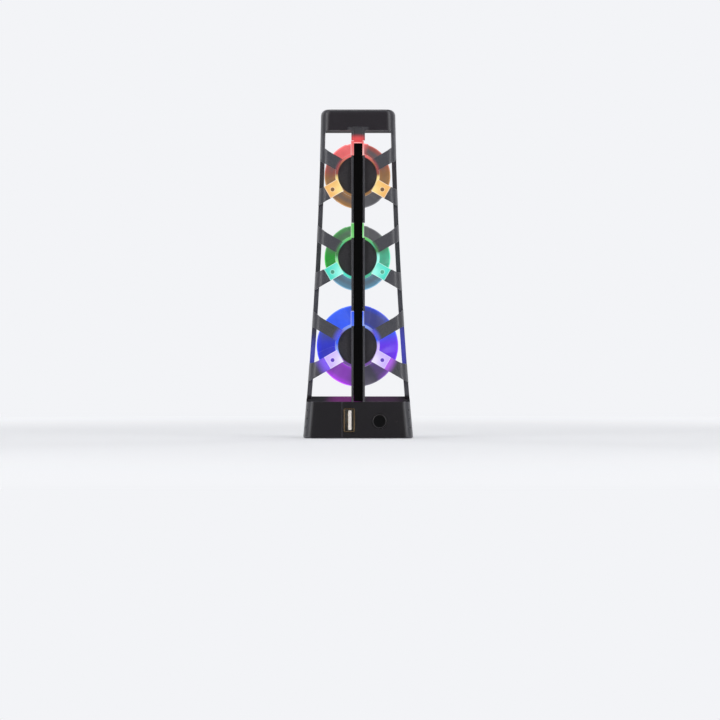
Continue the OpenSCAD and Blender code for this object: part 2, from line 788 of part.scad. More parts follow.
module status_light() {
    color([0.6, 0.6, 0.6, 0.8])
    bar(status_r, strip_recess / 2, board_d - chip_small_t + fuse, status_x, status_z);
    color([0.85, 0.85, 0.8])
    translate([status_x, board_d - depth - chip_small_t / 2, status_z])
        cube([chip_small_h, chip_small_t, chip_small_w], center = true);
}

module switch_body() {
    color([0.12, 0.12, 0.13])
    difference() {
        slab(board_d - switch_h, board_d)
            translate([button_x, button_z]) square([switch_w, switch_w], center = true);
        bar(plunger_r + fit_gap, board_d - switch_h - overrun, board_d - switch_h + plunger_in, button_x, button_z);
    }
}
plunger_in = 1.6;
plunger_d = board_d - switch_h - plunger_l;

module switch_plunger() {
    color([0.75, 0.74, 0.7])
    bar(plunger_r, plunger_d, board_d - switch_h + plunger_in - button_travel - fit_gap, button_x, button_z);
}

button_edge = 0.6;
button_edge_steps = 4;

module power_button() {
    color([0.03, 0.03, 0.03]) {
        face = button_recess;
        rotate_about_y(button_x, button_z)
            polygon(concat(
                [[0, face]],
                [for (i = [0:button_edge_steps]) let (a = 90 * i / button_edge_steps)
                    [button_r - button_edge + button_edge * sin(a), face + button_edge * (1 - cos(a))]],
                [[button_r, wall + button_gap], [button_r + button_flange, wall + button_gap],
                 [button_r + button_flange, wall + button_gap + button_flange_t],
                 [button_r, wall + button_gap + button_flange_t], [button_r, face + button_cap_l],
                 [stem_r, face + button_cap_l], [stem_r, plunger_d], [0, plunger_d]]));
    }
}

// Turns an outline of radius and depth about an axis along Y
module rotate_about_y(x, z) {
    translate([x, -depth, z]) rotate([-90, 0, 0]) rotate_extrude() children();
}

module port_ring(w, h, t, r) {
    difference() {
        round_rect(w, h, r);
        round_rect(w - 2 * t, h - 2 * t, r - t / 2);
    }
}
shell_corner_r = 0.6;

// Outline that fills a connector's shell with a small clearance
module shell_core(w, h, t) {
    round_rect(w - 2 * t - fit_gap, h - 2 * t - fit_gap, shell_corner_r);
}

contact_pitch = 2.3;
contact_zs = [for (k = [-1.5, -0.5, 0.5, 1.5]) k * contact_pitch];
contact_set = 1.2;

module usb_port_shell() {
    color([0.75, 0.72, 0.66])
    slab(-port_lip, board_d) translate([port_x, port_z]) port_ring(port_w, port_h, port_shell_t, shell_corner_r);
}

tongue_tip_d = port_lip + contact_set / 2;
tongue_end_d = tongue_tip_d + tongue_l;

module usb_port_tongue() {
    color([0.92, 0.9, 0.85]) {
        slab(tongue_tip_d, tongue_end_d + fuse)
            translate([port_x + tongue_x, port_z]) square([tongue_t, tongue_w], center = true);
        slab(tongue_end_d, board_d)
            translate([port_x, port_z]) shell_core(port_w, port_h, port_shell_t);
    }
}

module usb_port_contacts() {
    color([0.8, 0.62, 0.25])
    for (z = contact_zs)
        slab(tongue_tip_d + contact_set, tongue_end_d)
            translate([port_x + tongue_x - tongue_t / 2 - contact_t / 2, port_z + z])
                square([contact_t, contact_w], center = true);
}

plug_end_d = depth + plug_l;
plug_start_d = board_d + board_t;

module usb_plug_shell() {
    color([0.78, 0.78, 0.8])
    difference() {
        slab(plug_start_d, plug_end_d) translate([plug_x, 0]) port_ring(plug_w, plug_h, plug_shell_t, shell_corner_r);
        // The two square latch windows on each side
        for (s = [-1, 1])
            translate([plug_x - plug_w, latch_y, s * latch_z - latch_size / 2])
                cube([2 * plug_w, latch_size, latch_size]);
    }
}
latch_size = 2.3;
latch_z = 2.9;
latch_y = 5.2;

plug_core_x = plug_x - plug_w / 2 + plug_shell_t + plug_core_t / 2;

module usb_plug_insulator() {
    color([0.06, 0.06, 0.07]) {
        slab(plug_start_d, plug_end_d - contact_set / 4)
            intersection() {
                translate([plug_x, 0]) shell_core(plug_w, plug_h, plug_shell_t);
                translate([plug_core_x + fit_gap / 2, 0]) square([plug_core_t, plug_h], center = true);
            }
        slab(plug_start_d, depth) translate([plug_x, 0]) shell_core(plug_w, plug_h, plug_shell_t);
    }
}

module usb_plug_contacts() {
    color([0.85, 0.68, 0.3])
    for (z = contact_zs)
        slab(depth, plug_end_d - contact_set)
            translate([plug_core_x + fit_gap / 2 + plug_core_t / 2 + contact_t / 2, z]) square([contact_t, contact_w], center = true);
}

module fan_base(fan) {
    color([0.9, 0.92, 0.95, 0.6])
    difference() {
        union() {
            bar(base_r, base_d, base_end_d, fan_x, fan_z[fan]);
            slab(base_d, base_end_d) spoke(fan, 90, lower_arm_w, 0, tab_end_r);
            for (a = lower_angles) {
                slab(tab_recess, tab_recess + tab_t) spoke(fan, a, lower_arm_w, tab_start_r, tab_end_r);
                slab(tab_recess, base_end_d) spoke(fan, a, lower_arm_w, tab_start_r, base_r - fit_gap);
            }
            bar(tube_r, base_end_d - fuse, tube_end_d, fan_x, fan_z[fan]);
        }
        bar(bearing_r + fit_gap / 4, base_end_d, tube_end_d + overrun, fan_x, fan_z[fan]);
        bar(peg_r + fit_gap, base_d - overrun, base_end_d + overrun, fan_x, fan_z[fan] + tab_screw_r);
        for (a = lower_angles) {
            p = at(fan, a, tab_screw_r);
            bar(fan_screw_r + fit_gap / 4, tab_recess - overrun, tab_recess + tab_t + overrun, p.x, p.y);
            bar(fan_screw_head_r + fit_gap, tab_recess - overrun, tab_recess + fan_screw_head_h, p.x, p.y);
        }
        for (a = led_angles) {
            p = at(fan, a, led_at_r);
            slab(base_end_d - led_h + fan_board_gap - fit_gap, base_end_d + overrun)
                translate(p) rotate(a) square([led_w + 2 * fit_gap, led_w + 2 * fit_gap], center = true);
        }
        lead_slot(fan, base_d - overrun, base_end_d + overrun);
    }
}
tube_gap = 1.2;
tube_end_d = hub_d + hub_h - hub_wall - cup_wall - tube_gap;
fan_board_gap = 0.2;
led_angles = [90, 180 + 30, 360 - 30];

module lead_slot(fan, d0, d1) {
    slab(d0, d1)
        translate([lead_x(fan) - lead_hole_w / 2, fan_z[fan] - lead_hole_r - lead_hole_h / 2])
            square([lead_hole_w, lead_hole_h]);
}

module fan_label(fan) {
    color([0.12, 0.12, 0.13])
    difference() {
        bar(label_r, base_d - label_t, base_d, fan_x, fan_z[fan]);
        lead_slot(fan, base_d - label_t - overrun, base_d + overrun);
    }
}

fan_board_d = base_end_d + fan_board_gap;

module fan_board(fan) {
    color([0.08, 0.25, 0.12])
    difference() {
        bar(fan_board_r, fan_board_d, fan_board_d + fan_board_t, fan_x, fan_z[fan]);
        bar(tube_r + fit_gap, fan_board_d - overrun, fan_board_d + fan_board_t + overrun, fan_x, fan_z[fan]);
    }
}

module fan_leds(fan) {
    color([1, 1, 0.95])
    for (a = led_angles) {
        p = at(fan, a, led_at_r);
        slab(fan_board_d - led_h, fan_board_d) translate(p) rotate(a) square([led_w, led_w], center = true);
    }
}

core_shift = 0.6;
core_mid_d = hub_d + hub_h / 2 - core_shift;
core_inner_t = 0.9;

module sector(r, span) {
    polygon([[0, 0], [r * cos(span / 2), -r * sin(span / 2)], [r / cos(span / 2), 0], [r * cos(span / 2), r * sin(span / 2)]]);
}

module core_outline() {
    difference() {
        union() {
            circle(tube_r + core_inner_t);
            for (i = [0:pole_count - 1]) rotate(360 / pole_count * i + pole_turn) {
                translate([0, -pole_neck_w / 2]) square([core_r - pole_shoe_t / 2, pole_neck_w]);
                intersection() {
                    difference() {
                        circle(core_r);
                        circle(core_r - pole_shoe_t);
                    }
                    sector(2 * core_r, pole_shoe_span);
                }
            }
        }
        circle(tube_r + fit_gap / 4);
    }
}
pole_turn = 45;

module stator_core(fan) {
    color([0.45, 0.46, 0.48])
    slab(core_mid_d - core_h / 2, core_mid_d + core_h / 2) translate([fan_x, fan_z[fan]]) core_outline();
}

coil_start_r = tube_r + core_inner_t + fit_gap;
coil_end_r = core_r - pole_shoe_t - fit_gap;
coil_gap = 0.1;

module coils(fan) {
    color([0.72, 0.38, 0.16])
    translate([fan_x, core_mid_d - depth, fan_z[fan]])
        for (i = [0:pole_count - 1])
            rotate([0, -(360 / pole_count * i + pole_turn), 0])
                translate([coil_start_r, 0, 0]) rotate([90, 0, 90])
                    linear_extrude(coil_end_r - coil_start_r - coil_gap) difference() {
                        round_rect(core_h + 2 * (coil_t + coil_gap), pole_neck_w + 2 * (coil_t + coil_gap), coil_t);
                        square([core_h + 2 * coil_gap, pole_neck_w + 2 * coil_gap], center = true);
                    }
}

bearing_lift = 1;
bearing_d = base_end_d + bearing_lift;

module bearing(fan) {
    color([0.72, 0.55, 0.3])
    ring(bearing_r, shaft_r + shaft_gap, bearing_d, bearing_d + bearing_h, fan_x, fan_z[fan]);
}

cup_r = hub_r - hub_wall;
cup_end_d = hub_d + hub_h - hub_wall;
boss_r = 2.4;
boss_l = 1.1;

// One blade: a bowed and twisted plate between the hub and the tip radius
function blade_point(r_tip, s, k, side) =
    let (root = hub_r - hub_wall / 2, r = root + (r_tip - root) * k,
         a = blade_span * (s - 0.5) + blade_sweep * k,
         wide = r * blade_span * PI / 180, bow = 4 * blade_camber * s * (1 - s),
         slope = blade_h + 4 * blade_camber * (1 - 2 * s), n = sqrt(wide * wide + slope * slope),
         off = side * blade_t / 2 * (1 - taper_share * k),
         turn = -off * slope / n / r * 180 / PI,
         along = blade_h * (s - 0.5) + bow + off * wide / n)
    [r * cos(a + turn), along, r * sin(a + turn)];
taper_share = 0.3;
chord_steps = 6;
span_steps = 4;

module blade(r_tip) {
    nc = chord_steps;
    nr = span_steps;
    row = nc + 1;
    sheet = row * (nr + 1);
    points = [for (side = [-1, 1]) for (j = [0:nr]) for (i = [0:nc]) blade_point(r_tip, i / nc, j / nr, side)];
    function quad(a, b, c, d) = [[a, c, b], [a, d, c]];
    polyhedron(points = points, faces = concat(
        [for (j = [0:nr - 1]) for (i = [0:nc - 1]) let (p = j * row + i) each quad(p, p + row, p + row + 1, p + 1)],
        [for (j = [0:nr - 1]) for (i = [0:nc - 1]) let (p = sheet + j * row + i) each quad(p, p + 1, p + row + 1, p + row)],
        [for (i = [0:nc - 1]) each quad(i, i + 1, sheet + i + 1, sheet + i)],
        [for (i = [0:nc - 1]) let (p = nr * row + i) each quad(p + 1, p, sheet + p, sheet + p + 1)],
        [for (j = [0:nr - 1]) let (p = j * row) each quad(p + row, p, sheet + p, sheet + p + row)],
        [for (j = [0:nr - 1]) let (p = j * row + nc) each quad(p, p + row, sheet + p + row, sheet + p)]));
}

blade_lift = 0.5;
blade_mid_d = hub_d + blade_lift + blade_h / 2;

module impeller(fan) {
    color([0.75, 0.78, 0.82, 0.7]) {
        difference() {
            bar(hub_r, hub_d, hub_d + hub_h, fan_x, fan_z[fan]);
            bar(cup_r, hub_d - overrun, cup_end_d, fan_x, fan_z[fan]);
        }
        ring(boss_r, shaft_r, cup_end_d - cup_wall - boss_l, cup_end_d + fuse, fan_x, fan_z[fan]);
        translate([fan_x, blade_mid_d - depth, fan_z[fan]])
            for (i = [0:blade_count - 1]) rotate([0, -360 / blade_count * i, 0]) blade(rotor_r[fan]);
    }
}

shaft_start_d = base_end_d + fan_board_gap;
groove_r = 0.75;
groove_slack = 0.1;
groove_d = bearing_d - clip_t - groove_slack;

module shaft(fan) {
    color([0.7, 0.71, 0.73])
    difference() {
        bar(shaft_r, shaft_start_d, cup_end_d, fan_x, fan_z[fan]);
        ring(shaft_r + overrun, groove_r, groove_d - fit_gap / 2, groove_d + clip_t + fit_gap / 2, fan_x, fan_z[fan]);
    }
}

module retaining_ring(fan) {
    color([0.2, 0.2, 0.2])
    ring(clip_r, groove_r + fit_gap / 4, groove_d, groove_d + clip_t, fan_x, fan_z[fan]);
}

module rotor_cup(fan) {
    color([0.55, 0.56, 0.58])
    difference() {
        bar(cup_r, hub_d + blade_lift, cup_end_d, fan_x, fan_z[fan]);
        bar(cup_r - cup_wall, hub_d - overrun, cup_end_d - cup_wall, fan_x, fan_z[fan]);
        bar(boss_r, hub_d, cup_end_d + overrun, fan_x, fan_z[fan]);
    }
}

magnet_d = cup_end_d - cup_wall - magnet_h;

module magnet(fan) {
    color([0.16, 0.15, 0.15])
    ring(cup_r - cup_wall, cup_r - cup_wall - magnet_t, magnet_d, magnet_d + magnet_h, fan_x, fan_z[fan]);
}

// Sweeps a flat oval section along a route of points
function unit(v) = v / norm(v);
function lead_ring(p, along) =
    let (t = unit(along), x = [1, 0, 0], side = unit(x - t * (x * t)), up = cross(t, side), q = lead_t / 2, h = lead_w / 2 - q)
    [for (s = [-1, 1]) for (i = [0:lead_arc_steps]) let (a = (s < 0 ? 90 : -90) + 180 * i / lead_arc_steps)
        p + side * (s * h + q * cos(a)) + up * (q * sin(a))];
lead_arc_steps = 3;

module lead(route) {
    last = len(route) - 1;
    rings = [for (i = [0:last]) lead_ring(route[i],
        (i == last ? route[i] - route[i - 1] : i == 0 ? route[1] - route[0] : unit(route[i + 1] - route[i]) + unit(route[i] - route[i - 1])))];
    n = len(rings[0]);
    polyhedron(
        points = [for (r = rings) each r],
        faces = concat(
            [[for (i = [n - 1:-1:0]) i]],
            [[for (i = [0:n - 1]) last * n + i]],
            [for (k = [0:last - 1]) for (i = [0:n - 1]) let (j = (i + 1) % n) each
                [[k * n + i, k * n + j, (k + 1) * n + i], [k * n + j, (k + 1) * n + j, (k + 1) * n + i]]]));
}

lead_d = (strip_recess + strip_t + rib_floor_d) / 2;
lead_bend_r = 1.2;
bend_steps = 4;
lead_end_z = socket_z;
// Depth at which the leads drop through the roof of the control box
drop_d = roof_slot_d + roof_slot_w / 2;
// Share of the lead exit's height at which the leads turn down
drop_share = 0.75;
drop_z = box_top_z + lead_exit_l * drop_share;
turn_z = box_top_z - wall - lead_w;

function bend(cy, cz, a0, a1, r, x) =
    [for (i = [0:bend_steps]) let (a = a0 + (a1 - a0) * i / bend_steps) [x, cy + r * cos(a), cz + r * sin(a)]];

module fan_lead(fan) {
    x = lead_x(fan);
    xs = socket_x(fan);
    top_z = fan_z[fan] - lead_hole_r;
    rb = lead_bend_r;
    color([0.06, 0.06, 0.06])
    lead(concat(
        [[x, fan_board_d - depth - fit_gap, top_z]],
        bend(lead_d + rb - depth, top_z - rb, 90, 180, rb, x),
        [[x, lead_d - depth, drop_z + rb]],
        [[x, drop_d - depth, drop_z - rb]],
        [[x, drop_d - depth, box_top_z - wall - lead_t / 2]],
        [[(2 * x + xs) / 3, drop_d + rb - depth, turn_z]],
        [[xs, board_d - socket_h - rb - depth, lead_end_z]],
        [[xs, board_d - socket_h - depth, lead_end_z]]));
}

rear_housing();
control_box_cover();
top_cover();
wire_cover_strip();
cover_screws();
fan_screws();
main_board();
board_components();
lead_sockets();
status_light();
switch_body();
usb_plug_shell();
usb_plug_insulator();
usb_plug_contacts();
usb_port_shell();
usb_port_tongue();
usb_port_contacts();
fan_lead(0);  // top_fan_lead
fan_lead(1);  // middle_fan_lead
fan_lead(2);  // bottom_fan_lead
fan_base(0);  // top_fan_base
fan_base(1);  // middle_fan_base
fan_base(2);  // bottom_fan_base
fan_label(0);  // top_fan_label
fan_label(1);  // middle_fan_label
fan_label(2);  // bottom_fan_label
fan_board(0);  // top_fan_board
fan_board(1);  // middle_fan_board
fan_board(2);  // bottom_fan_board
fan_leds(0);  // top_fan_leds
fan_leds(1);  // middle_fan_leds
fan_leds(2);  // bottom_fan_leds
stator_core(0);  // top_fan_stator_core
stator_core(1);  // middle_fan_stator_core
stator_core(2);  // bottom_fan_stator_core
coils(0);  // top_fan_coils
coils(1);  // middle_fan_coils
coils(2);  // bottom_fan_coils
bearing(0);  // top_fan_bearing
bearing(1);  // middle_fan_bearing
bearing(2);  // bottom_fan_bearing
impeller(0);  // top_fan_impeller
impeller(1);  // middle_fan_impeller
impeller(2);  // bottom_fan_impeller
shaft(0);  // top_fan_shaft
shaft(1);  // middle_fan_shaft
shaft(2);  // bottom_fan_shaft
rotor_cup(0);  // top_fan_rotor_cup
rotor_cup(1);  // middle_fan_rotor_cup
rotor_cup(2);  // bottom_fan_rotor_cup
magnet(0);  // top_fan_magnet
magnet(1);  // middle_fan_magnet
magnet(2);  // bottom_fan_magnet
retaining_ring(0);  // top_fan_retaining_ring
retaining_ring(1);  // middle_fan_retaining_ring
retaining_ring(2);  // bottom_fan_retaining_ring
power_button();
switch_plunger();
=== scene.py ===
"""Looks of the console cooling fan: refined meshes, finishes, studio and camera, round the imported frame."""
import json
import logging
import math
from dataclasses import dataclass, field
from enum import Enum
from typing import Sequence

import bmesh
import bpy
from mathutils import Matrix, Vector
from mathutils.geometry import delaunay_2d_cdt


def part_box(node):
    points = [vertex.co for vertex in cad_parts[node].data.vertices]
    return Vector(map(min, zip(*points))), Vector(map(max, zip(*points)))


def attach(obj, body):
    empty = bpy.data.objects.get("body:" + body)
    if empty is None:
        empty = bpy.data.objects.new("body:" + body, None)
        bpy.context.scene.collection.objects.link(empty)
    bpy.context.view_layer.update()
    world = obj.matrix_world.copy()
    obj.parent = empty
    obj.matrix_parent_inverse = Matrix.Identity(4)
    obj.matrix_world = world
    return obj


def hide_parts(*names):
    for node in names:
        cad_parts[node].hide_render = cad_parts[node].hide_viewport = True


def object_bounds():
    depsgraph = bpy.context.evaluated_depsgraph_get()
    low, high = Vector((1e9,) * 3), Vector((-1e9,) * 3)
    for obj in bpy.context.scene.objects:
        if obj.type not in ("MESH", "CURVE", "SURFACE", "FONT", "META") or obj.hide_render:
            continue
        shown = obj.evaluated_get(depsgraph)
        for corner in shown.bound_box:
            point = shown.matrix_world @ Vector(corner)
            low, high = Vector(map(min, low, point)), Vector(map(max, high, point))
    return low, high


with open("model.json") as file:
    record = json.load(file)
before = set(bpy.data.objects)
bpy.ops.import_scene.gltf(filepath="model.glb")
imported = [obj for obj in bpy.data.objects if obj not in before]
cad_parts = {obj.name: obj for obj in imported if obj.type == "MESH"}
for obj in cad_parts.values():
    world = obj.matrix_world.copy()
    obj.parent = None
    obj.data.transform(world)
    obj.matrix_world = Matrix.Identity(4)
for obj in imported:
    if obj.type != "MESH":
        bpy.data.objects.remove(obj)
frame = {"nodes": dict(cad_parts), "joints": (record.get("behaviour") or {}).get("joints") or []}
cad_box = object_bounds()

log = logging.getLogger("cooling_fan")

MM = 0.001
TURN = 2 * math.pi
BLACK = (0.0, 0.0, 0.0, 1.0)
WHITE = (1.0, 1.0, 1.0, 1.0)
# Points closer than this are one point, and an edge as short as a speck goes
MERGE = 0.004 * MM
SPECK = 0.002 * MM
# Faces that turn less than FLAT from each other are one face, and edges under SMOOTH are shaded round
FLAT = math.radians(0.1)
SMOOTH = math.radians(32)
# Steps round a turned piece, and along a rounded corner of its profile
LATHE_STEPS = 96
CORNER_STEPS = 5
# Part of a face's area that its triangles may cover before its outline counts as doubling back
DOUBLED = 1.02
# Attribute of the housing's faces that is 0 on its outer walls and 1 elsewhere
INWARD = "inward"

Colour = tuple[int, int, int]
Point = tuple[float, float, float]


def linear(colour: Colour) -> tuple[float, float, float, float]:
    """Turns a colour as seen, 0 to 255, into the linear values that a shader takes.

    Args:
        colour: red, green and blue as they look on a screen.

    Returns:
        Linear red, green, blue and a full alpha.
    """
    shares = [c / 255 for c in colour]
    return (*[s / 12.92 if s <= 0.04045 else ((s + 0.055) / 1.055) ** 2.4 for s in shares], 1.0)


class Graph:
    """Short calls that add and join the nodes of one tree."""

    def __init__(self, tree: bpy.types.NodeTree) -> None:
        """Keeps the tree that the calls work on."""
        self.tree = tree

    def node(self, kind: str, **settings: object) -> bpy.types.Node:
        """Adds one node.

        Args:
            kind: the node's type name.
            settings: properties to set on it.

        Returns:
            The new node.
        """
        made = self.tree.nodes.new(kind)
        for name, value in settings.items():
            setattr(made, name, value)
        return made

    def put(self, socket: bpy.types.NodeSocket, value: object) -> None:
        """Links a socket to another one, or sets its value.

        Args:
            socket: the input that receives.
            value: an output socket or a plain value.
        """
        if isinstance(value, bpy.types.NodeSocket):
            self.tree.links.new(value, socket)
        else:
            socket.default_value = value

    def call(self, kind: str, inputs: dict, output: str | int = 0, **settings: object
             ) -> bpy.types.NodeSocket:
        """Adds a node, fills its inputs and picks an output.

        Args:
            kind: the node's type name.
            inputs: values or sockets by input name or number.
            output: the output wanted, by name or number.
            settings: properties to set on the node.

        Returns:
            The chosen output socket.
        """
        made = self.node(kind, **settings)
        for name, value in inputs.items():
            self.put(made.inputs[name], value)
        return made.outputs[output]

    def math(self, operation: str, *values: object, clamp: bool = False) -> bpy.types.NodeSocket:
        """Adds a Math node.

        Args:
            operation: the node's operation.
            values: one to three values or sockets.
            clamp: keeps the result between 0 and 1.

        Returns:
            The result socket.
        """
        return self.call("ShaderNodeMath", dict(enumerate(values)), operation=operation, use_clamp=clamp)

    def times(self, first: object, second: object) -> bpy.types.NodeSocket:
        """Multiplies two values."""
        return self.math("MULTIPLY", first, second)

    def vector(self, operation: str, *values: object, output: str | int = 0) -> bpy.types.NodeSocket:
        """Adds a Vector Math node.

        Args:
            operation: the node's operation.
            values: one or two vectors or sockets.
            output: the output wanted, which is Value for a length or a dot product.

        Returns:
            The result socket.
        """
        return self.call("ShaderNodeVectorMath", dict(enumerate(values)), output, operation=operation)

    def combine(self, x: object, y: object, z: object) -> bpy.types.NodeSocket:
        """Makes a vector out of three values."""
        return self.call("ShaderNodeCombineXYZ", {0: x, 1: y, 2: z})

    def separate(self, vector: object) -> list[bpy.types.NodeSocket]:
        """Takes a vector apart into its three values."""
        made = self.node("ShaderNodeSeparateXYZ")
        self.put(made.inputs[0], vector)
        return list(made.outputs)

    def ease(self, value: object, start: object, end: object, low: float = 0, high: float = 1
             ) -> bpy.types.NodeSocket:
        """Maps a value smoothly from one span to another.

        Args:
            value: what is mapped.
            start: where the result is low.
            end: where the result is high.
            low: result at the start.
            high: result at the end.

        Returns:
            The eased value.
        """
        return self.call("ShaderNodeMapRange", {0: value, 1: start, 2: end, 3: low, 4: high},
                         interpolation_type="SMOOTHSTEP")

    def peak(self, value: object, middle: object, reach: object) -> bpy.types.NodeSocket:
        """Gives 1 where a value meets its middle, falling smoothly to 0 a reach away."""
        gap = self.math("ABSOLUTE", self.math("SUBTRACT", value, middle))
        return self.ease(gap, 0.0, reach, 1.0, 0.0)

    def blend(self, share: object, first: object, second: object, mode: str = "MIX") -> bpy.types.NodeSocket:
        """Mixes two colours.

        Args:
            share: how much of the second shows.
            first: the first colour.
            second: the second colour.
            mode: the blend type.

        Returns:
            The mixed colour.
        """
        return self.call("ShaderNodeMix", {0: share, 6: first, 7: second}, output=2, data_type="RGBA",
                         blend_type=mode)

    def noise(self, vector: object, scale: float, detail: float = 2, rough: float = 0.5
              ) -> bpy.types.NodeSocket:
        """Adds a noise and gives its value."""
        return self.call("ShaderNodeTexNoise",
                         {"Vector": vector, "Scale": scale, "Detail": detail, "Roughness": rough})

    def group(self, tree: bpy.types.NodeTree, inputs: dict) -> bpy.types.Node:
        """Places a node group.

        Args:
            tree: the group.
            inputs: values or sockets by input name.

        Returns:
            The group node.
        """
        made = self.node("ShaderNodeGroup" if tree.bl_idname == "ShaderNodeTree" else "GeometryNodeGroup")
        made.node_tree = tree
        for name, value in inputs.items():
            self.put(made.inputs[name], value)
        return made


class Group(Graph):
    """A node group with named inputs and outputs."""

    def __init__(self, name: str, kind: str, inputs: dict[str, str], outputs: dict[str, str]) -> None:
        """Makes the group and its sockets.

        Args:
            name: the group's name.
            kind: ShaderNodeTree or GeometryNodeTree.
            inputs: socket kinds by name.
            outputs: socket kinds by name.
        """
        super().__init__(bpy.data.node_groups.new(name, kind))
        for sockets, side in ((inputs, "INPUT"), (outputs, "OUTPUT")):
            for label, socket in sockets.items():
                self.tree.interface.new_socket(name=label, in_out=side, socket_type="NodeSocket" + socket)
        self.entry = self.node("NodeGroupInput").outputs
        self.exit = self.node("NodeGroupOutput").inputs


def grain_group() -> bpy.types.NodeTree:
    """Builds the grain of a moulded or printed surface: fine height and a soft shade.

    Returns:
        The shader group, with inputs Vector and Grain and outputs Height and Shade.
    """
    group = Group("moulded_grain", "ShaderNodeTree", {"Vector": "Vector", "Grain": "Float"},
                  {"Height": "Float", "Shade": "Float"})
    scale = group.math("DIVIDE", 1.0, group.entry["Grain"])
    fine = group.noise(group.entry["Vector"], scale, 3, 0.6)
    pits = group.call("ShaderNodeTexVoronoi", {"Vector": group.entry["Vector"], "Scale": scale}, "Distance",
                      feature="SMOOTH_F1")
    cloud_scale = group.times(scale, 0.035)
    cloud = group.noise(group.entry["Vector"], cloud_scale, 3, 0.55)
    group.put(group.exit["Height"], group.math("MULTIPLY_ADD", pits, 0.5, fine))
    speck = group.ease(fine, 0.3, 0.7)
    group.put(group.exit["Shade"], group.math("MULTIPLY_ADD", speck, 0.45, group.times(cloud, 0.55)))
    return group.tree


def handling_group() -> bpy.types.NodeTree:
    """Builds the faint marks of handling: cloudy patches and thin rubbed streaks.

    Returns:
        The shader group, with input Vector and outputs Patches and Streaks.
    """
    group = Group("handling_marks", "ShaderNodeTree", {"Vector": "Vector"},
                  {"Patches": "Float", "Streaks": "Float"})
    patches = group.noise(group.entry["Vector"], 90, 4, 0.6)
    stretched = group.vector("MULTIPLY", group.entry["Vector"], (900, 300, 60))
    streaks = group.noise(stretched, 1.0, 4, 0.65)
    group.put(group.exit["Patches"], group.ease(patches, 0.35, 0.7))
    group.put(group.exit["Streaks"], group.ease(streaks, 0.55, 0.75))
    return group.tree


def lobe_group() -> bpy.types.NodeTree:
    """Builds one lobe of coloured light: a colour that shows round one heading from a fan's axis.

    Returns:
        The shader group, with inputs Base, Vector, Centre, Heading, Edge, Amount and Light and output Colour.
    """
    group = Group("light_lobe", "ShaderNodeTree",
                  {"Base": "Color", "Vector": "Vector", "Centre": "Vector", "Heading": "Vector",
                   "Edge": "Float", "Amount": "Float", "Light": "Color"}, {"Colour": "Color"})
    away = group.vector("SUBTRACT", group.entry["Vector"], group.entry["Centre"])
    x, _, z = group.separate(away)
    flat = group.vector("NORMALIZE", group.combine(x, 0.0, z))
    facing = group.vector("DOT_PRODUCT", flat, group.entry["Heading"], output="Value")
    share = group.times(group.ease(facing, group.entry["Edge"], 1.0), group.entry["Amount"])
    group.put(group.exit["Colour"], group.blend(share, group.entry["Base"], group.entry["Light"]))
    return group.tree


def tab_group() -> bpy.types.NodeTree:
    """Builds the place on a straight tab: how far out along it, how far across it, and where its edges lie.

    Returns:
        The shader group, with inputs Vector, Centre, Heading, Side, Start, End and Width and outputs Inside,
        Along, Across and Edge.
    """
    group = Group("tab_place", "ShaderNodeTree",
                  {"Vector": "Vector", "Centre": "Vector", "Heading": "Vector", "Side": "Vector",
                   "Start": "Float", "End": "Float", "Width": "Float"},
                  {"Inside": "Float", "Along": "Float", "Across": "Float", "Edge": "Float"})
    given = group.entry
    away = group.vector("SUBTRACT", given["Vector"], given["Centre"])
    out = group.vector("DOT_PRODUCT", away, given["Heading"], output="Value")
    over = group.vector("DOT_PRODUCT", away, given["Side"], output="Value")
    half = group.times(given["Width"], 0.5)
    started = group.ease(out, given["Start"], group.math("ADD", given["Start"], 0.35 * MM))
    within = group.math("LESS_THAN", group.math("ABSOLUTE", over), group.math("ADD", half, 0.05 * MM))
    length = group.math("SUBTRACT", given["End"], given["Start"])
    rim = group.peak(group.math("ABSOLUTE", over), half, 0.45 * MM)
    tip = group.peak(out, given["End"], 0.5 * MM)
    group.put(group.exit["Inside"], group.times(started, within))
    past = group.math("SUBTRACT", out, given["Start"])
    group.put(group.exit["Along"], group.math("DIVIDE", past, length, clamp=True))
    aside = group.math("DIVIDE", over, given["Width"])
    group.put(group.exit["Across"], group.math("MULTIPLY_ADD", aside, 1.0, 0.5))
    group.put(group.exit["Edge"], group.math("MAXIMUM", rim, tip))
    return group.tree


def radius_group() -> bpy.types.NodeTree:
    """Builds the distance from a fan's axis, and a ripple as of light bent in clear plastic.

    Returns:
        The shader group, with inputs Vector and Centre and outputs Radius and Ripple.
    """
    group = Group("axis_radius", "ShaderNodeTree", {"Vector": "Vector", "Centre": "Vector"},
                  {"Radius": "Float", "Ripple": "Float"})
    away = group.vector("SUBTRACT", group.entry["Vector"], group.entry["Centre"])
    x, _, z = group.separate(away)
    flat = group.combine(x, 0.0, z)
    length = group.vector("LENGTH", flat, output="Value")
    broad = group.noise(group.entry["Vector"], 110, 2, 0.5)
    soft = group.noise(group.entry["Vector"], 420, 2, 0.5)
    group.put(group.exit["Radius"], length)
    group.put(group.exit["Ripple"], group.math("MULTIPLY_ADD", broad, 0.65, group.times(soft, 0.35)))
    return group.tree


GRAIN = grain_group()
HANDLING = handling_group()
LOBE = lobe_group()
TAB = tab_group()
RADIUS = radius_group()


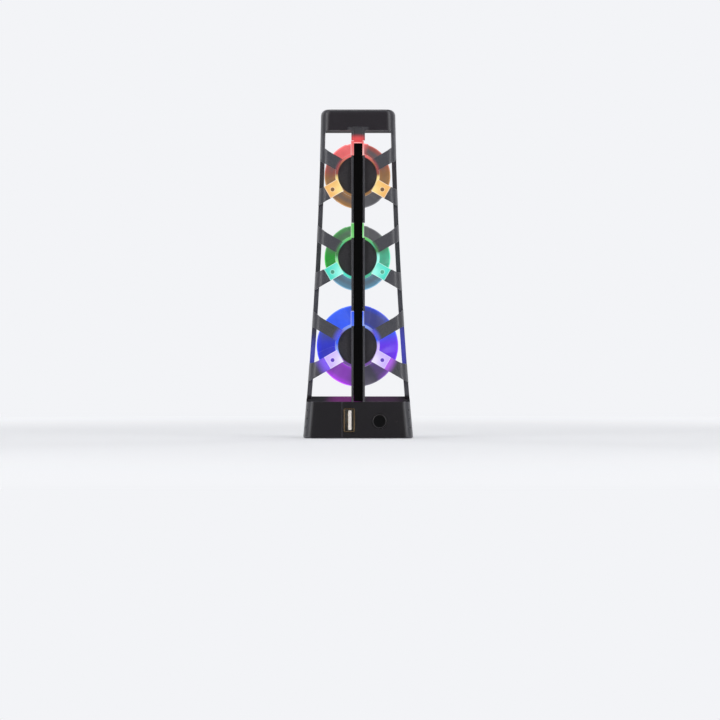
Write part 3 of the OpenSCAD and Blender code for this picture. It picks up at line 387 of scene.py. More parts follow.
class Surface(Graph):
    """A material under construction: its tree, its main shader and the object's own coordinates."""

    def __init__(self, name: str) -> None:
        """Starts a material with a bare Principled shader."""
        self.material = bpy.data.materials.new(name)
        self.material.use_nodes = True
        super().__init__(self.material.node_tree)
        self.shader = self.tree.nodes["Principled BSDF"].inputs
        self.place = self.node("ShaderNodeTexCoord").outputs["Object"]

    def feed(self, name: str, value: object) -> None:
        """Links one of the main shader's inputs, or sets its value."""
        self.put(self.shader[name], value)

    def axis(self, centre: Point) -> bpy.types.bpy_prop_collection:
        """Gives the outputs Radius, the distance from a fan's axis, and Ripple."""
        return self.group(RADIUS, {"Vector": self.place, "Centre": centre}).outputs

    def grain(self, size: float) -> bpy.types.bpy_prop_collection:
        """Gives the outputs Height and Shade of a grain of a size in metres."""
        return self.group(GRAIN, {"Vector": self.place, "Grain": size}).outputs

    def bump(self, height: object, depth: float, strength: float = 1.0) -> None:
        """Feeds a height into the shader's normal.

        Args:
            height: the height's socket, 0 to 1.
            depth: its real depth in metres.
            strength: how much of it shows.
        """
        normal = self.call("ShaderNodeBump", {"Strength": strength, "Distance": depth, "Height": height},
                           "Normal")
        self.feed("Normal", normal)

    def lobes(self, base: object, centre: Point, lobes: Sequence["Lobe"], rise: object = 1.0
              ) -> bpy.types.NodeSocket:
        """Lays lobes of light over a base colour.

        Args:
            base: the colour or socket under the light.
            centre: the fan's centre.
            lobes: the lobes, the later over the earlier.
            rise: 0 where only a lobe's deep share shows, 1 where all of it does.

        Returns:
            The lit colour.
        """
        shade = base
        for lobe in lobes:
            amount = self.math("MULTIPLY_ADD", rise, 1 - lobe.deep, lobe.deep)
            shade = self.group(LOBE, {
                "Base": shade, "Vector": self.place, "Centre": centre, "Heading": heading(lobe.heading),
                "Edge": math.cos(math.radians(lobe.spread)), "Amount": amount,
                "Light": linear(lobe.colour)}).outputs["Colour"]
        return shade

    def tab(self, base: object, centre: Point, tab: "TabLight", start: float, end: float, width: float
            ) -> bpy.types.NodeSocket:
        """Lays the light of one tab over a base colour.

        Args:
            base: the colour or socket round the tab.
            centre: the fan's centre.
            tab: the tab's light.
            start: radius at which the tab starts.
            end: radius at which it ends.
            width: its width.

        Returns:
            The lit colour.
        """
        up = tab.heading + (90 if math.cos(math.radians(tab.heading)) > 0 else -90)
        place = self.group(TAB, {"Vector": self.place, "Centre": centre, "Heading": heading(tab.heading),
                                 "Side": heading(up), "Start": start, "End": end, "Width": width}).outputs
        shade = self.blend(self.ease(place["Along"], 0.05, 0.95), linear(tab.inner), linear(tab.outer))
        shade = self.blend(self.ease(place["Across"], 0.15, 0.95, 0.0, 0.75), shade, linear(tab.outer))
        shade = self.blend(self.times(place["Edge"], 0.4), shade, WHITE)
        return self.blend(place["Inside"], base, shade)


def heading(angle: float) -> Point:
    """Gives the unit vector at an angle in degrees from +X towards +Z."""
    return (math.cos(math.radians(angle)), 0.0, math.sin(math.radians(angle)))


@dataclass(frozen=True)
class Lobe:
    """Light of one colour round one heading.

    Args:
        heading: angle in degrees from +X towards +Z.
        spread: angle at which the lobe has faded out.
        colour: its colour as seen.
        deep: share of it that shows away from the bright edge.
    """

    heading: float
    spread: float
    colour: Colour
    deep: float = 0.4


@dataclass(frozen=True)
class TabLight:
    """Light in one tab: near the ring, and at its outer end and upper side."""

    heading: float
    inner: Colour
    outer: Colour


class Zone(Enum):
    """Where on the housing a fan's light falls."""

    FACE = "face"
    RAIL = "rail"
    ROOF = "roof"


@dataclass(frozen=True)
class Spill:
    """Light that a fan throws on the housing round one heading.

    Args:
        heading: angle in degrees from +X towards +Z.
        spread: angle at which it has faded out.
        colour: its colour as seen.
        near: radius up to which it is full.
        far: radius at which it has gone.
        start: radius at which it sets in.
        zone: the faces that it lights.
        share: part of the colour's strength that it has.
    """

    heading: float
    spread: float
    colour: Colour
    near: float
    far: float
    zone: Zone = Zone.FACE
    start: float = 10.8 * MM
    share: float = 1.0


@dataclass(frozen=True)
class Plastic:
    """Moulded plastic, coating or rubber with a grain."""

    name: str
    colour: Colour
    roughness: float = 0.5
    grain: float = 0.3 * MM
    depth: float = 0.02 * MM
    shade: float = 0.2
    specular: float = 0.5

    def surface(self) -> Surface:
        """Builds the finish.

        Returns:
            The surface, whose tree can still be added to.
        """
        made = Surface(self.name)
        grain = made.grain(self.grain)
        marks = made.group(HANDLING, {"Vector": made.place}).outputs
        dark = [c * (1 - self.shade) for c in linear(self.colour)[:3]] + [1.0]
        light = [min(1.0, c * (1 + self.shade)) for c in linear(self.colour)[:3]] + [1.0]
        made.feed("Base Color", made.blend(grain["Shade"], dark, light))
        rough = made.ease(marks["Patches"], 0, 1, self.roughness * 0.92, min(1.0, self.roughness * 1.1))
        made.feed("Roughness", made.math("MULTIPLY_ADD", marks["Streaks"], -0.04, rough))
        made.feed("Specular IOR Level", self.specular)
        made.bump(grain["Height"], self.depth)
        return made

    def build(self) -> bpy.types.Material:
        """Gives the finished material."""
        return self.surface().material


@dataclass(frozen=True)
class Metal:
    """Metal with fine drawn lines and a little tarnish."""

    name: str
    colour: Colour
    tarnish: Colour
    roughness: float = 0.32
    lines: Point = (6000.0, 300.0, 6000.0)

    def surface(self) -> Surface:
        """Builds the finish.

        Returns:
            The surface, whose tree can still be added to.
        """
        made = Surface(self.name)
        marks = made.group(HANDLING, {"Vector": made.place}).outputs
        drawn = made.vector("MULTIPLY", made.place, self.lines)
        lines = made.noise(drawn, 1.0, 3, 0.6)
        made.feed("Base Color", made.blend(marks["Patches"], linear(self.colour), linear(self.tarnish)))
        made.feed("Metallic", 1.0)
        made.feed("Roughness", made.ease(lines, 0.3, 0.7, self.roughness * 0.75, self.roughness * 1.25))
        made.bump(lines, 0.01 * MM, 0.6)
        return made

    def build(self) -> bpy.types.Material:
        """Gives the finished material."""
        return self.surface().material


@dataclass(frozen=True)
class CircuitBoard:
    """Solder mask over copper tracks, with pale pads."""

    name: str
    mask: Colour = (18, 74, 44)
    track: Colour = (34, 104, 58)
    pitch: float = 1.1 * MM

    def build(self) -> bpy.types.Material:
        """Builds the finish.

        Returns:
            The material.
        """
        made = Surface(self.name)
        cells = made.call("ShaderNodeTexVoronoi", {"Vector": made.place, "Scale": 1 / self.pitch}, "Distance",
                          feature="F1", distance="CHEBYCHEV")
        tracks = made.ease(cells, 0.32, 0.36)
        grain = made.grain(0.2 * MM)
        shade = made.blend(tracks, linear(self.mask), linear(self.track))
        made.feed("Base Color", made.blend(0.25, shade, grain["Shade"], "MULTIPLY"))
        made.feed("Roughness", made.ease(grain["Shade"], 0, 1, 0.28, 0.42))
        made.bump(tracks, 0.03 * MM)
        return made.material


@dataclass(frozen=True)
class Windings:
    """Enamelled copper wire, turn by turn."""

    name: str
    colour: Colour = (196, 108, 58)
    wire: float = 0.22 * MM

    def build(self) -> bpy.types.Material:
        """Builds the finish.

        Returns:
            The material.
        """
        made = Surface(self.name)
        x, _, z = made.separate(made.place)
        across = made.combine(made.math("ADD", x, z), 0.0, made.math("SUBTRACT", x, z))
        wave = {"Vector": across, "Scale": 0.05 / self.wire, "Distortion": 0.6}
        turns = made.call("ShaderNodeTexWave", wave, "Fac", wave_type="BANDS", bands_direction="X",
                          wave_profile="SIN")
        dark = linear(tuple(int(c * 0.55) for c in self.colour))
        made.feed("Base Color", made.blend(turns, dark, linear(self.colour)))
        made.feed("Roughness", made.ease(turns, 0, 1, 0.45, 0.28))
        made.feed("Metallic", 0.85)
        made.bump(turns, self.wire / 2)
        return made.material


@dataclass(frozen=True)
class FanLight:
    """The colours that one lit fan shows on its blades, its base and what lies round it."""

    smoke_glow: Colour
    blades: tuple[Lobe, ...]
    ring: Colour
    ring_lobes: tuple[Lobe, ...]
    tabs: tuple[TabLight, ...]
    screw: Colour
    spill: tuple[Spill, ...]


class FanPlace(Enum):
    """The three fans, from the top down."""

    TOP = "top"
    MIDDLE = "middle"
    BOTTOM = "bottom"


@dataclass(frozen=True)
class Hue:
    """One hue of light: faint in smoky plastic, full, and pale where it is brightest."""

    faint: Colour
    full: Colour
    pale: Colour


# Each fan is lit in two hues, one from its upper tab and one from its lower tabs
RED = Hue((152, 86, 80), (240, 114, 116), (255, 190, 186))
AMBER = Hue((152, 114, 76), (244, 188, 114), (254, 226, 150))
GREEN = Hue((78, 136, 84), (110, 202, 108), (154, 236, 158))
AQUA = Hue((96, 136, 160), (84, 222, 200), (164, 254, 238))
BLUE = Hue((64, 78, 180), (66, 102, 248), (130, 160, 248))
VIOLET = Hue((114, 78, 156), (112, 62, 234), (206, 182, 254))
ORCHID = (166, 72, 222)
TEAL = (82, 180, 148)
LILAC = (236, 228, 255)
# The dim glow of the blades away from the lobes, painted in their emission; the bottom fan's is tinted blue
# by its light
SMOKE_GLOW = (93, 93, 97)
BLUE_SMOKE_GLOW = (74, 72, 86)
# Darker colours, for the light on black plastic and for single blades
DEEP_RED = (225, 58, 60)
DEEP_GREEN = (52, 150, 62)
DEEP_BLUE = (56, 62, 214)
PLUM = (95, 15, 95)

LIGHTS = {
    FanPlace.TOP: FanLight(
        smoke_glow=SMOKE_GLOW,
        blades=(Lobe(20, 30, RED.faint), Lobe(164, 24, RED.faint), Lobe(180, 16, RED.faint, 0.5),
                Lobe(200, 30, AMBER.faint, 0.7), Lobe(245, 30, AMBER.faint), Lobe(350, 34, AMBER.faint, 0.8),
                Lobe(58, 24, RED.faint, 0.05), Lobe(92, 26, RED.full, 0.85), Lobe(124, 34, RED.full, 0.9)),
        ring=AMBER.faint,
        ring_lobes=(Lobe(15, 20, RED.faint), Lobe(165, 22, RED.faint), Lobe(90, 62, RED.full),
                    Lobe(346, 18, AMBER.pale), Lobe(200, 26, AMBER.pale)),
        tabs=(TabLight(210, AMBER.pale, AMBER.full), TabLight(330, AMBER.pale, AMBER.full),
              TabLight(90, RED.pale, RED.full)),
        screw=AMBER.faint,
        spill=(Spill(30, 34, DEEP_RED, 11.0 * MM, 13.5 * MM, share=0.55),
               Spill(150, 34, DEEP_RED, 11.0 * MM, 13.5 * MM, share=0.55),
               Spill(90, 16, DEEP_RED, 20.4 * MM, 23.6 * MM, start=17.5 * MM),
               Spill(90, 16, RED.pale, 18.1 * MM, 18.7 * MM, start=17.5 * MM))),
    FanPlace.MIDDLE: FanLight(
        smoke_glow=SMOKE_GLOW,
        blades=(Lobe(285, 60, AQUA.faint), Lobe(240, 24, AQUA.faint), Lobe(120, 40, GREEN.faint),
                Lobe(62, 24, SMOKE_GLOW), Lobe(20, 26, GREEN.faint, 0.5), Lobe(160, 26, GREEN.faint, 0.6),
                Lobe(187, 26, DEEP_GREEN, 0.95), Lobe(352, 34, TEAL, 0.85)),
        ring=TEAL,
        ring_lobes=(Lobe(15, 20, GREEN.faint), Lobe(165, 22, GREEN.faint), Lobe(90, 62, GREEN.full),
                    Lobe(350, 30, AQUA.pale), Lobe(198, 26, GREEN.pale), Lobe(235, 24, AQUA.full)),
        tabs=(TabLight(210, AQUA.pale, AQUA.full), TabLight(330, AQUA.pale, AQUA.full),
              TabLight(90, GREEN.pale, GREEN.full)),
        screw=TEAL,
        spill=(Spill(30, 34, DEEP_GREEN, 11.0 * MM, 13.5 * MM, share=0.85),
               Spill(150, 34, DEEP_GREEN, 11.0 * MM, 13.5 * MM, share=0.85))),
    FanPlace.BOTTOM: FanLight(
        smoke_glow=BLUE_SMOKE_GLOW,
        blades=(Lobe(62, 36, BLUE.faint), Lobe(165, 24, BLUE.faint, 0.6), Lobe(190, 30, DEEP_BLUE, 0.75),
                Lobe(124, 40, BLUE.full, 0.95), Lobe(15, 30, BLUE.full, 0.8), Lobe(350, 34, VIOLET.full, 0.9),
                Lobe(240, 30, ORCHID, 0.6), Lobe(318, 20, VIOLET.faint, 0.4)),
        ring=VIOLET.faint,
        ring_lobes=(Lobe(15, 22, BLUE.full), Lobe(165, 24, BLUE.full), Lobe(90, 62, BLUE.pale),
                    Lobe(350, 28, VIOLET.pale), Lobe(198, 26, BLUE.pale)),
        tabs=(TabLight(210, LILAC, VIOLET.pale), TabLight(330, LILAC, VIOLET.pale),
              TabLight(90, BLUE.pale, BLUE.full)),
        screw=VIOLET.full,
        spill=(Spill(30, 34, DEEP_BLUE, 12.0 * MM, 14.8 * MM),
               Spill(150, 34, DEEP_BLUE, 12.0 * MM, 15.6 * MM),
               Spill(210, 40, VIOLET.full, 20.5 * MM, 27.0 * MM),
               Spill(330, 40, ORCHID, 20.0 * MM, 25.0 * MM),
               Spill(352, 50, DEEP_BLUE, 26.0 * MM, 33.0 * MM, Zone.RAIL, share=0.5),
               Spill(206, 46, DEEP_BLUE, 26.0 * MM, 33.0 * MM, Zone.RAIL, share=0.5),
               Spill(257, 20, PLUM, 34.0 * MM, 40.0 * MM, Zone.ROOF),
               Spill(294, 20, PLUM, 36.0 * MM, 44.0 * MM, Zone.ROOF, share=0.22))),
}


@dataclass(frozen=True)
class LitClear:
    """Clear plastic lit from inside by a fan's diodes."""

    name: str
    centre: Point
    light: FanLight
    label_r: float
    disc_r: float
    tab_end_r: float
    tab_w: float = 7.4 * MM

    def build(self, edge: bool = False) -> bpy.types.Material:
        """Builds the finish of the base.

        Args:
            edge: True for the narrow rounded edges, which shine more.

        Returns:
            The material.
        """
        made = Surface(self.name + ("_edge" if edge else ""))
        axis = made.axis(self.centre)
        ring = made.lobes(linear(self.light.ring), self.centre, self.light.ring_lobes)
        bright = made.peak(axis["Radius"], (self.label_r + self.disc_r) / 2,
                           (self.disc_r - self.label_r) * 0.7)
        glow = made.blend(1.0, ring, made.math("MULTIPLY_ADD", bright, 0.42, 0.68), "MULTIPLY")
        for tab in self.light.tabs:
            glow = made.tab(glow, self.centre, tab, self.label_r + 0.2 * MM, self.tab_end_r, self.tab_w)
        ripple = made.ease(axis["Ripple"], 0.25, 0.75, 0.9, 1.04)
        lifted = made.blend(0.3 if edge else 0.0, glow, WHITE)
        made.feed("Base Color", made.blend(0.85, glow, BLACK))
        made.feed("Emission Color", made.blend(1.0, lifted, ripple, "MULTIPLY"))
        made.feed("Emission Strength", 0.94)
        made.feed("Roughness", made.ease(axis["Ripple"], 0, 1, 0.16, 0.3))
        made.bump(axis["Ripple"], 0.03 * MM, 0.4)
        return made.material


@dataclass(frozen=True)
class LitBlades:
    """Smoky clear blades lit along their edges."""

    name: str
    centre: Point
    light: FanLight
    tip_r: float
    hub_r: float

    def build(self) -> bpy.types.Material:
        """Builds the finish of the rotor.

        Returns:
            The material.
        """
        made = Surface(self.name)
        axis = made.axis(self.centre)
        radius = axis["Radius"]
        outer = made.ease(radius, self.tip_r - 3.4 * MM, self.tip_r - 1.2 * MM)
        inner = made.times(made.ease(radius, self.hub_r + 2.6 * MM, self.hub_r + 1.0 * MM, 0.0, 0.7),
                          made.ease(radius, self.hub_r - 2.5 * MM, self.hub_r))
        rise = made.math("MAXIMUM", outer, inner)
        # The blades' glow, smoke and lobes alike, is painted light in their emission
        glow = made.lobes(linear(self.light.smoke_glow), self.centre, self.light.blades, rise)
        rim = made.peak(radius, self.tip_r - 0.25 * MM, 0.55 * MM)
        bright = made.blend(1.0, glow, (2.6, 2.6, 2.6, 1.0), "MULTIPLY")
        edge = made.blend(made.times(rim, 0.8), glow, bright)
        shade = made.ease(axis["Ripple"], 0.25, 0.75, 0.88, 1.06)
        made.feed("Emission Color", made.blend(1.0, edge, shade, "MULTIPLY"))
        made.feed("Emission Strength", 0.92)
        made.feed("Base Color", made.blend(0.85, glow, BLACK))
        made.feed("Roughness", made.ease(axis["Ripple"], 0, 1, 0.25, 0.4))
        made.bump(axis["Ripple"], 0.02 * MM, 0.3)
        return made.material


@dataclass(frozen=True)
class LitDiode:
    """The face of a diode that is on."""

    name: str
    colour: Colour

    def build(self) -> bpy.types.Material:
        """Builds the finish.

        Returns:
            The material.
        """
        made = Surface(self.name)
        grain = made.grain(0.4 * MM)
        made.feed("Base Color", made.blend(grain["Shade"], linear((236, 228, 190)), linear((250, 246, 228))))
        made.feed("Emission Color", made.blend(grain["Shade"], linear(self.colour), linear((255, 255, 255))))
        made.feed("Emission Strength", 2.0)
        made.feed("Roughness", 0.3)
        return made.material


def new_piece(name: str, mesh: bpy.types.Mesh) -> bpy.types.Object:
    """Puts a mesh into the scene under a name."""
    made = bpy.data.objects.new(name, mesh)
    bpy.context.scene.collection.objects.link(made)
    return made


def baked(piece: bpy.types.Object) -> bpy.types.Mesh:
    """Turns a piece with modifiers into a plain mesh."""
    graph = bpy.context.evaluated_depsgraph_get()
    mesh = bpy.data.meshes.new_from_object(piece.evaluated_get(graph), depsgraph=graph)
    mesh.name = piece.name
    piece.modifiers.clear()
    piece.data = mesh
    return mesh


def smooth_shade(mesh: bpy.types.Mesh) -> None:
    """Shades a mesh smooth, with its sharper edges kept sharp."""
    mesh.shade_smooth()
    mesh.set_sharp_from_angle(angle=SMOOTH)


def mend_outlines(mesh: bpy.types.Mesh) -> None:
    """Removes faces without area and cuts into triangles each face whose outline doubles back on itself.

    Args:
        mesh: the mesh that is mended.
    """
    work = bmesh.new()
    work.from_mesh(mesh)
    bmesh.ops.dissolve_degenerate(work, dist=SPECK, edges=work.edges)
    work.to_mesh(mesh)
    work.free()
    mesh.calc_loop_triangles()
    cut = [0.0] * len(mesh.polygons)
    for triangle in mesh.loop_triangles:
        cut[triangle.polygon_index] += triangle.area
    wrong = [side.index for side in mesh.polygons
             if len(side.vertices) > 4 and cut[side.index] > DOUBLED * side.area]
    if not wrong:
        return
    work = bmesh.new()
    work.from_mesh(mesh)
    work.faces.ensure_lookup_table()
    for face in [work.faces[index] for index in wrong]:
        across = face.calc_tangent_edge()
        up = face.normal.cross(across)
        corners = list(face.verts)
        flat = [Vector((corner.co.dot(across), corner.co.dot(up))) for corner in corners]
        done = delaunay_2d_cdt(flat, [], [list(range(len(flat)))], 1, MERGE)
        rise = face.normal * corners[0].co.dot(face.normal)
        places = [corners[source[0]] if source else work.verts.new(across * place.x + up * place.y + rise)
                  for place, source in zip(done[0], done[3])]
        number = face.material_index
        work.faces.remove(face)
        for part in done[2]:
            made = work.faces.new([places[index] for index in part])
            made.material_index = number
    work.to_mesh(mesh)
    work.free()


def settle(piece: bpy.types.Object) -> None:
    """Turns a piece with modifiers into a plain mesh, shaded by angle, whose broad faces stay flat.

    Args:
        piece: the object to settle.
    """
    mesh = baked(piece)
    mend_outlines(mesh)
    smooth_shade(mesh)
    weighted = piece.modifiers.new("normals", "WEIGHTED_NORMAL")
    weighted.mode = "FACE_AREA"
    weighted.weight = 100
    weighted.keep_sharp = True
    baked(piece)


def add_bevel(piece: bpy.types.Object, width: float, segments: int = 2, edge: int = -1) -> None:
    """Adds a bevel of the sharp edges.

    Args:
        piece: the object that is bevelled.
        width: width of the bevel.
        segments: steps across it.
        edge: material number of the new faces, or -1 for the same as their neighbours'.
    """
    bevel = piece.modifiers.new("edges", "BEVEL")
    bevel.width = width
    bevel.segments = segments
    bevel.limit_method = "ANGLE"
    bevel.angle_limit = SMOOTH
    bevel.use_clamp_overlap = False
    bevel.miter_outer = "MITER_ARC"
    bevel.material = edge


def merged(node: str) -> bmesh.types.BMesh:
    """Gives a CAD node's shape with its doubles merged and its flat faces joined."""
    work = bmesh.new()
    work.from_mesh(frame["nodes"][node].data)
    bmesh.ops.remove_doubles(work, verts=work.verts, dist=MERGE)
    bmesh.ops.dissolve_limit(work, angle_limit=FLAT, verts=work.verts, edges=work.edges)
    return work


def refined(name: str, node: str, width: float, materials: Sequence[bpy.types.Material], segments: int = 2,
            edge: int = -1) -> bpy.types.Object:
    """Makes a piece out of a CAD node, with its edges rounded.

    Args:
        name: the piece's name.
        node: the node that it stands for.
        width: width of the rounded edges.
        materials: its materials.
        segments: steps across an edge.
        edge: material number of the edges, or -1 for the same.

    Returns:
        The piece.
    """
    mesh = bpy.data.meshes.new(name)
    work = merged(node)
    work.to_mesh(mesh)
    work.free()
    for material in materials:
        mesh.materials.append(material)
    piece = new_piece(name, mesh)
    add_bevel(piece, width, segments, edge=edge)
    settle(piece)
    return piece


def lathe(name: str, profile: Sequence[tuple[float, float]], centre: Vector) -> bpy.types.Mesh:
    """Turns a profile about an axis along Y into a closed mesh.

    Args:
        name: the mesh's name.
        profile: points of radius and Y in metres, where a radius of 0 is a pole.
        centre: a point on the axis; its Y isn't used.

    Returns:
        The mesh.
    """
    work = bmesh.new()
    rings: list[list[bmesh.types.BMVert]] = []
    for radius, y in profile:
        count = LATHE_STEPS if radius > 0 else 1
        angles = [TURN * i / LATHE_STEPS for i in range(count)]
        rings.append([work.verts.new((centre.x + radius * math.cos(a), y, centre.z + radius * math.sin(a)))
                      for a in angles])
    closed = profile[0][0] > 0
    for first, second in zip(rings, rings[1:] + (rings[:1] if closed else [])):
        for i in range(LATHE_STEPS):
            corners = [first[i % len(first)], first[(i + 1) % len(first)],
                       second[(i + 1) % len(second)], second[i % len(second)]]
            unique = list(dict.fromkeys(corners))
            if len(unique) > 2:
                work.faces.new(unique)
    bmesh.ops.recalc_face_normals(work, faces=work.faces)
    mesh = bpy.data.meshes.new(name)
    work.to_mesh(mesh)
    work.free()
    return mesh


def corner(radius: float, y: float, round_r: float, quarter: int) -> list[tuple[float, float]]:
    """Gives the points of a rounded corner of a profile.

    Args:
        radius: radius of the arc's centre from the axis.
        y: Y of the arc's centre.
        round_r: radius of the rounding.
        quarter: 0 to 3, the quarter turn that the arc starts from.

    Returns:
        Points of radius and Y.
    """
    start = quarter * math.pi / 2
    turns = [start + math.pi / 2 * i / CORNER_STEPS for i in range(CORNER_STEPS + 1)]
    return [(radius + round_r * math.cos(turn), y + round_r * math.sin(turn)) for turn in turns]


def joined(name: str, meshes: Sequence[bpy.types.Mesh]) -> bpy.types.Mesh:
    """Joins several meshes into one."""
    work = bmesh.new()
    for mesh in meshes:
        work.from_mesh(mesh)
    made = bpy.data.meshes.new(name)
    work.to_mesh(made)
    work.free()
    return made


def islands(node: str) -> list[tuple[Vector, Vector]]:
    """Finds the separate solids of a CAD node.

    Args:
        node: the node's name.

    Returns:
        The lowest and highest corner of each solid, in the same order each run.
    """
    work = merged(node)
    left = set(work.verts)
    boxes = []
    while left:
        front = [left.pop()]
        found = list(front)
        while front:
            for edge in front.pop().link_edges:
                for vert in edge.verts:
                    if vert in left:
                        left.remove(vert)
                        front.append(vert)
                        found.append(vert)
        spread = list(zip(*[v.co for v in found]))
        boxes.append((Vector(map(min, spread)), Vector(map(max, spread))))
    work.free()
    return sorted(boxes, key=lambda box: tuple(box[0]))


def give_inputs(piece: bpy.types.Object, tree: bpy.types.NodeTree, values: dict[str, object]) -> None:
    """Adds a tree to a piece as a modifier and sets its inputs by their identifiers.

    Args:
        piece: the object.
        tree: the Geometry Nodes tree.
        values: the values by input name.
    """
    modifier = piece.modifiers.new(tree.name, "NODES")
    modifier.node_group = tree
    for item in tree.interface.items_tree:
        if item.item_type == "SOCKET" and item.in_out == "INPUT" and item.name in values:
            modifier[item.identifier] = values[item.name]


def hand_over(piece: bpy.types.Object, body: str, slot: str, *nodes: str) -> bpy.types.Object:
    """Makes a piece ride on its body, hides the nodes that it stands for, and logs it with their names.

    Args:
        piece: the finished piece.
        body: the body it rides on.
        slot: the record's material slot; not used.
        nodes: the CAD nodes that it replaces.

    Returns:
        The piece.
    """
    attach(piece, body)
    if nodes:
        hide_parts(*nodes)
    log.info("%s on %s stands for %s, %d faces", piece.name, body, ", ".join(nodes) or "nothing",
             len(piece.data.polygons))
    return piece


def dress(node: str, material: bpy.types.Material) -> None:
    """Gives a CAD node that stays its material."""
    mesh = frame["nodes"][node].data
    mesh.materials.clear()
    mesh.materials.append(material)
    log.info("%s keeps its shape, in %s", node, material.name)


def reach(node: str, centre: Vector) -> float:
    """Gives the largest distance of a node's points from an axis along Y."""
    return max(math.hypot(v.co.x - centre.x, v.co.z - centre.z) for v in frame["nodes"][node].data.vertices)


def blade_tree() -> bpy.types.NodeTree:
    """Builds the tree that sets swept and bowed blades round a rotor's axis.

    Returns:
        The tree. The blades are sheets, and a Solidify modifier after it gives them their thickness.
    """
    tree = Group("rotor_blades", "GeometryNodeTree",
                 {"Geometry": "Geometry", "Count": "Int", "Root Radius": "Float", "Tip Radius": "Float",
                  "Height": "Float", "Span": "Float", "Sweep": "Float", "Bow": "Float", "Centre": "Vector",
                  "Material": "Material"}, {"Geometry": "Geometry"})
    given = tree.entry
    sheet = tree.call("GeometryNodeMeshGrid",
                      {"Size X": 1.0, "Size Y": 1.0, "Vertices X": 7, "Vertices Y": 13})
    x, y, _ = tree.separate(tree.call("GeometryNodeInputPosition", {}))
    out = tree.math("ADD", x, 0.5)
    length = tree.math("SUBTRACT", given["Tip Radius"], given["Root Radius"])
    radius = tree.math("MULTIPLY_ADD", out, length, given["Root Radius"])
    angle = tree.math("MULTIPLY_ADD", y, given["Span"], tree.times(out, given["Sweep"]))
    hollow = tree.math("SUBTRACT", 1.0, tree.times(tree.times(y, y), 4.0))
    along = tree.math("MULTIPLY_ADD", y, given["Height"], tree.times(hollow, given["Bow"]))
    place = tree.combine(tree.times(radius, tree.math("COSINE", angle)), along,
                         tree.times(radius, tree.math("SINE", angle)))
    blade = tree.call("GeometryNodeSetPosition", {"Geometry": sheet, "Position": place})
    axis = tree.call("GeometryNodeMeshLine", {"Count": given["Count"], "Offset": (0.0, 0.0, 0.0)})
    step = tree.math("DIVIDE", -TURN, given["Count"])
    turned = tree.combine(0.0, tree.times(tree.call("GeometryNodeInputIndex", {}), step), 0.0)
    ring = tree.call("GeometryNodeInstanceOnPoints", {"Points": axis, "Instance": blade, "Rotation": turned})
    real = tree.call("GeometryNodeRealizeInstances", {"Geometry": ring})
    moved = tree.call("GeometryNodeTransform", {"Geometry": real, "Translation": given["Centre"]})
    done = tree.call("GeometryNodeSetMaterial", {"Geometry": moved, "Material": given["Material"]})
    tree.put(tree.exit["Geometry"], done)
    return tree.tree


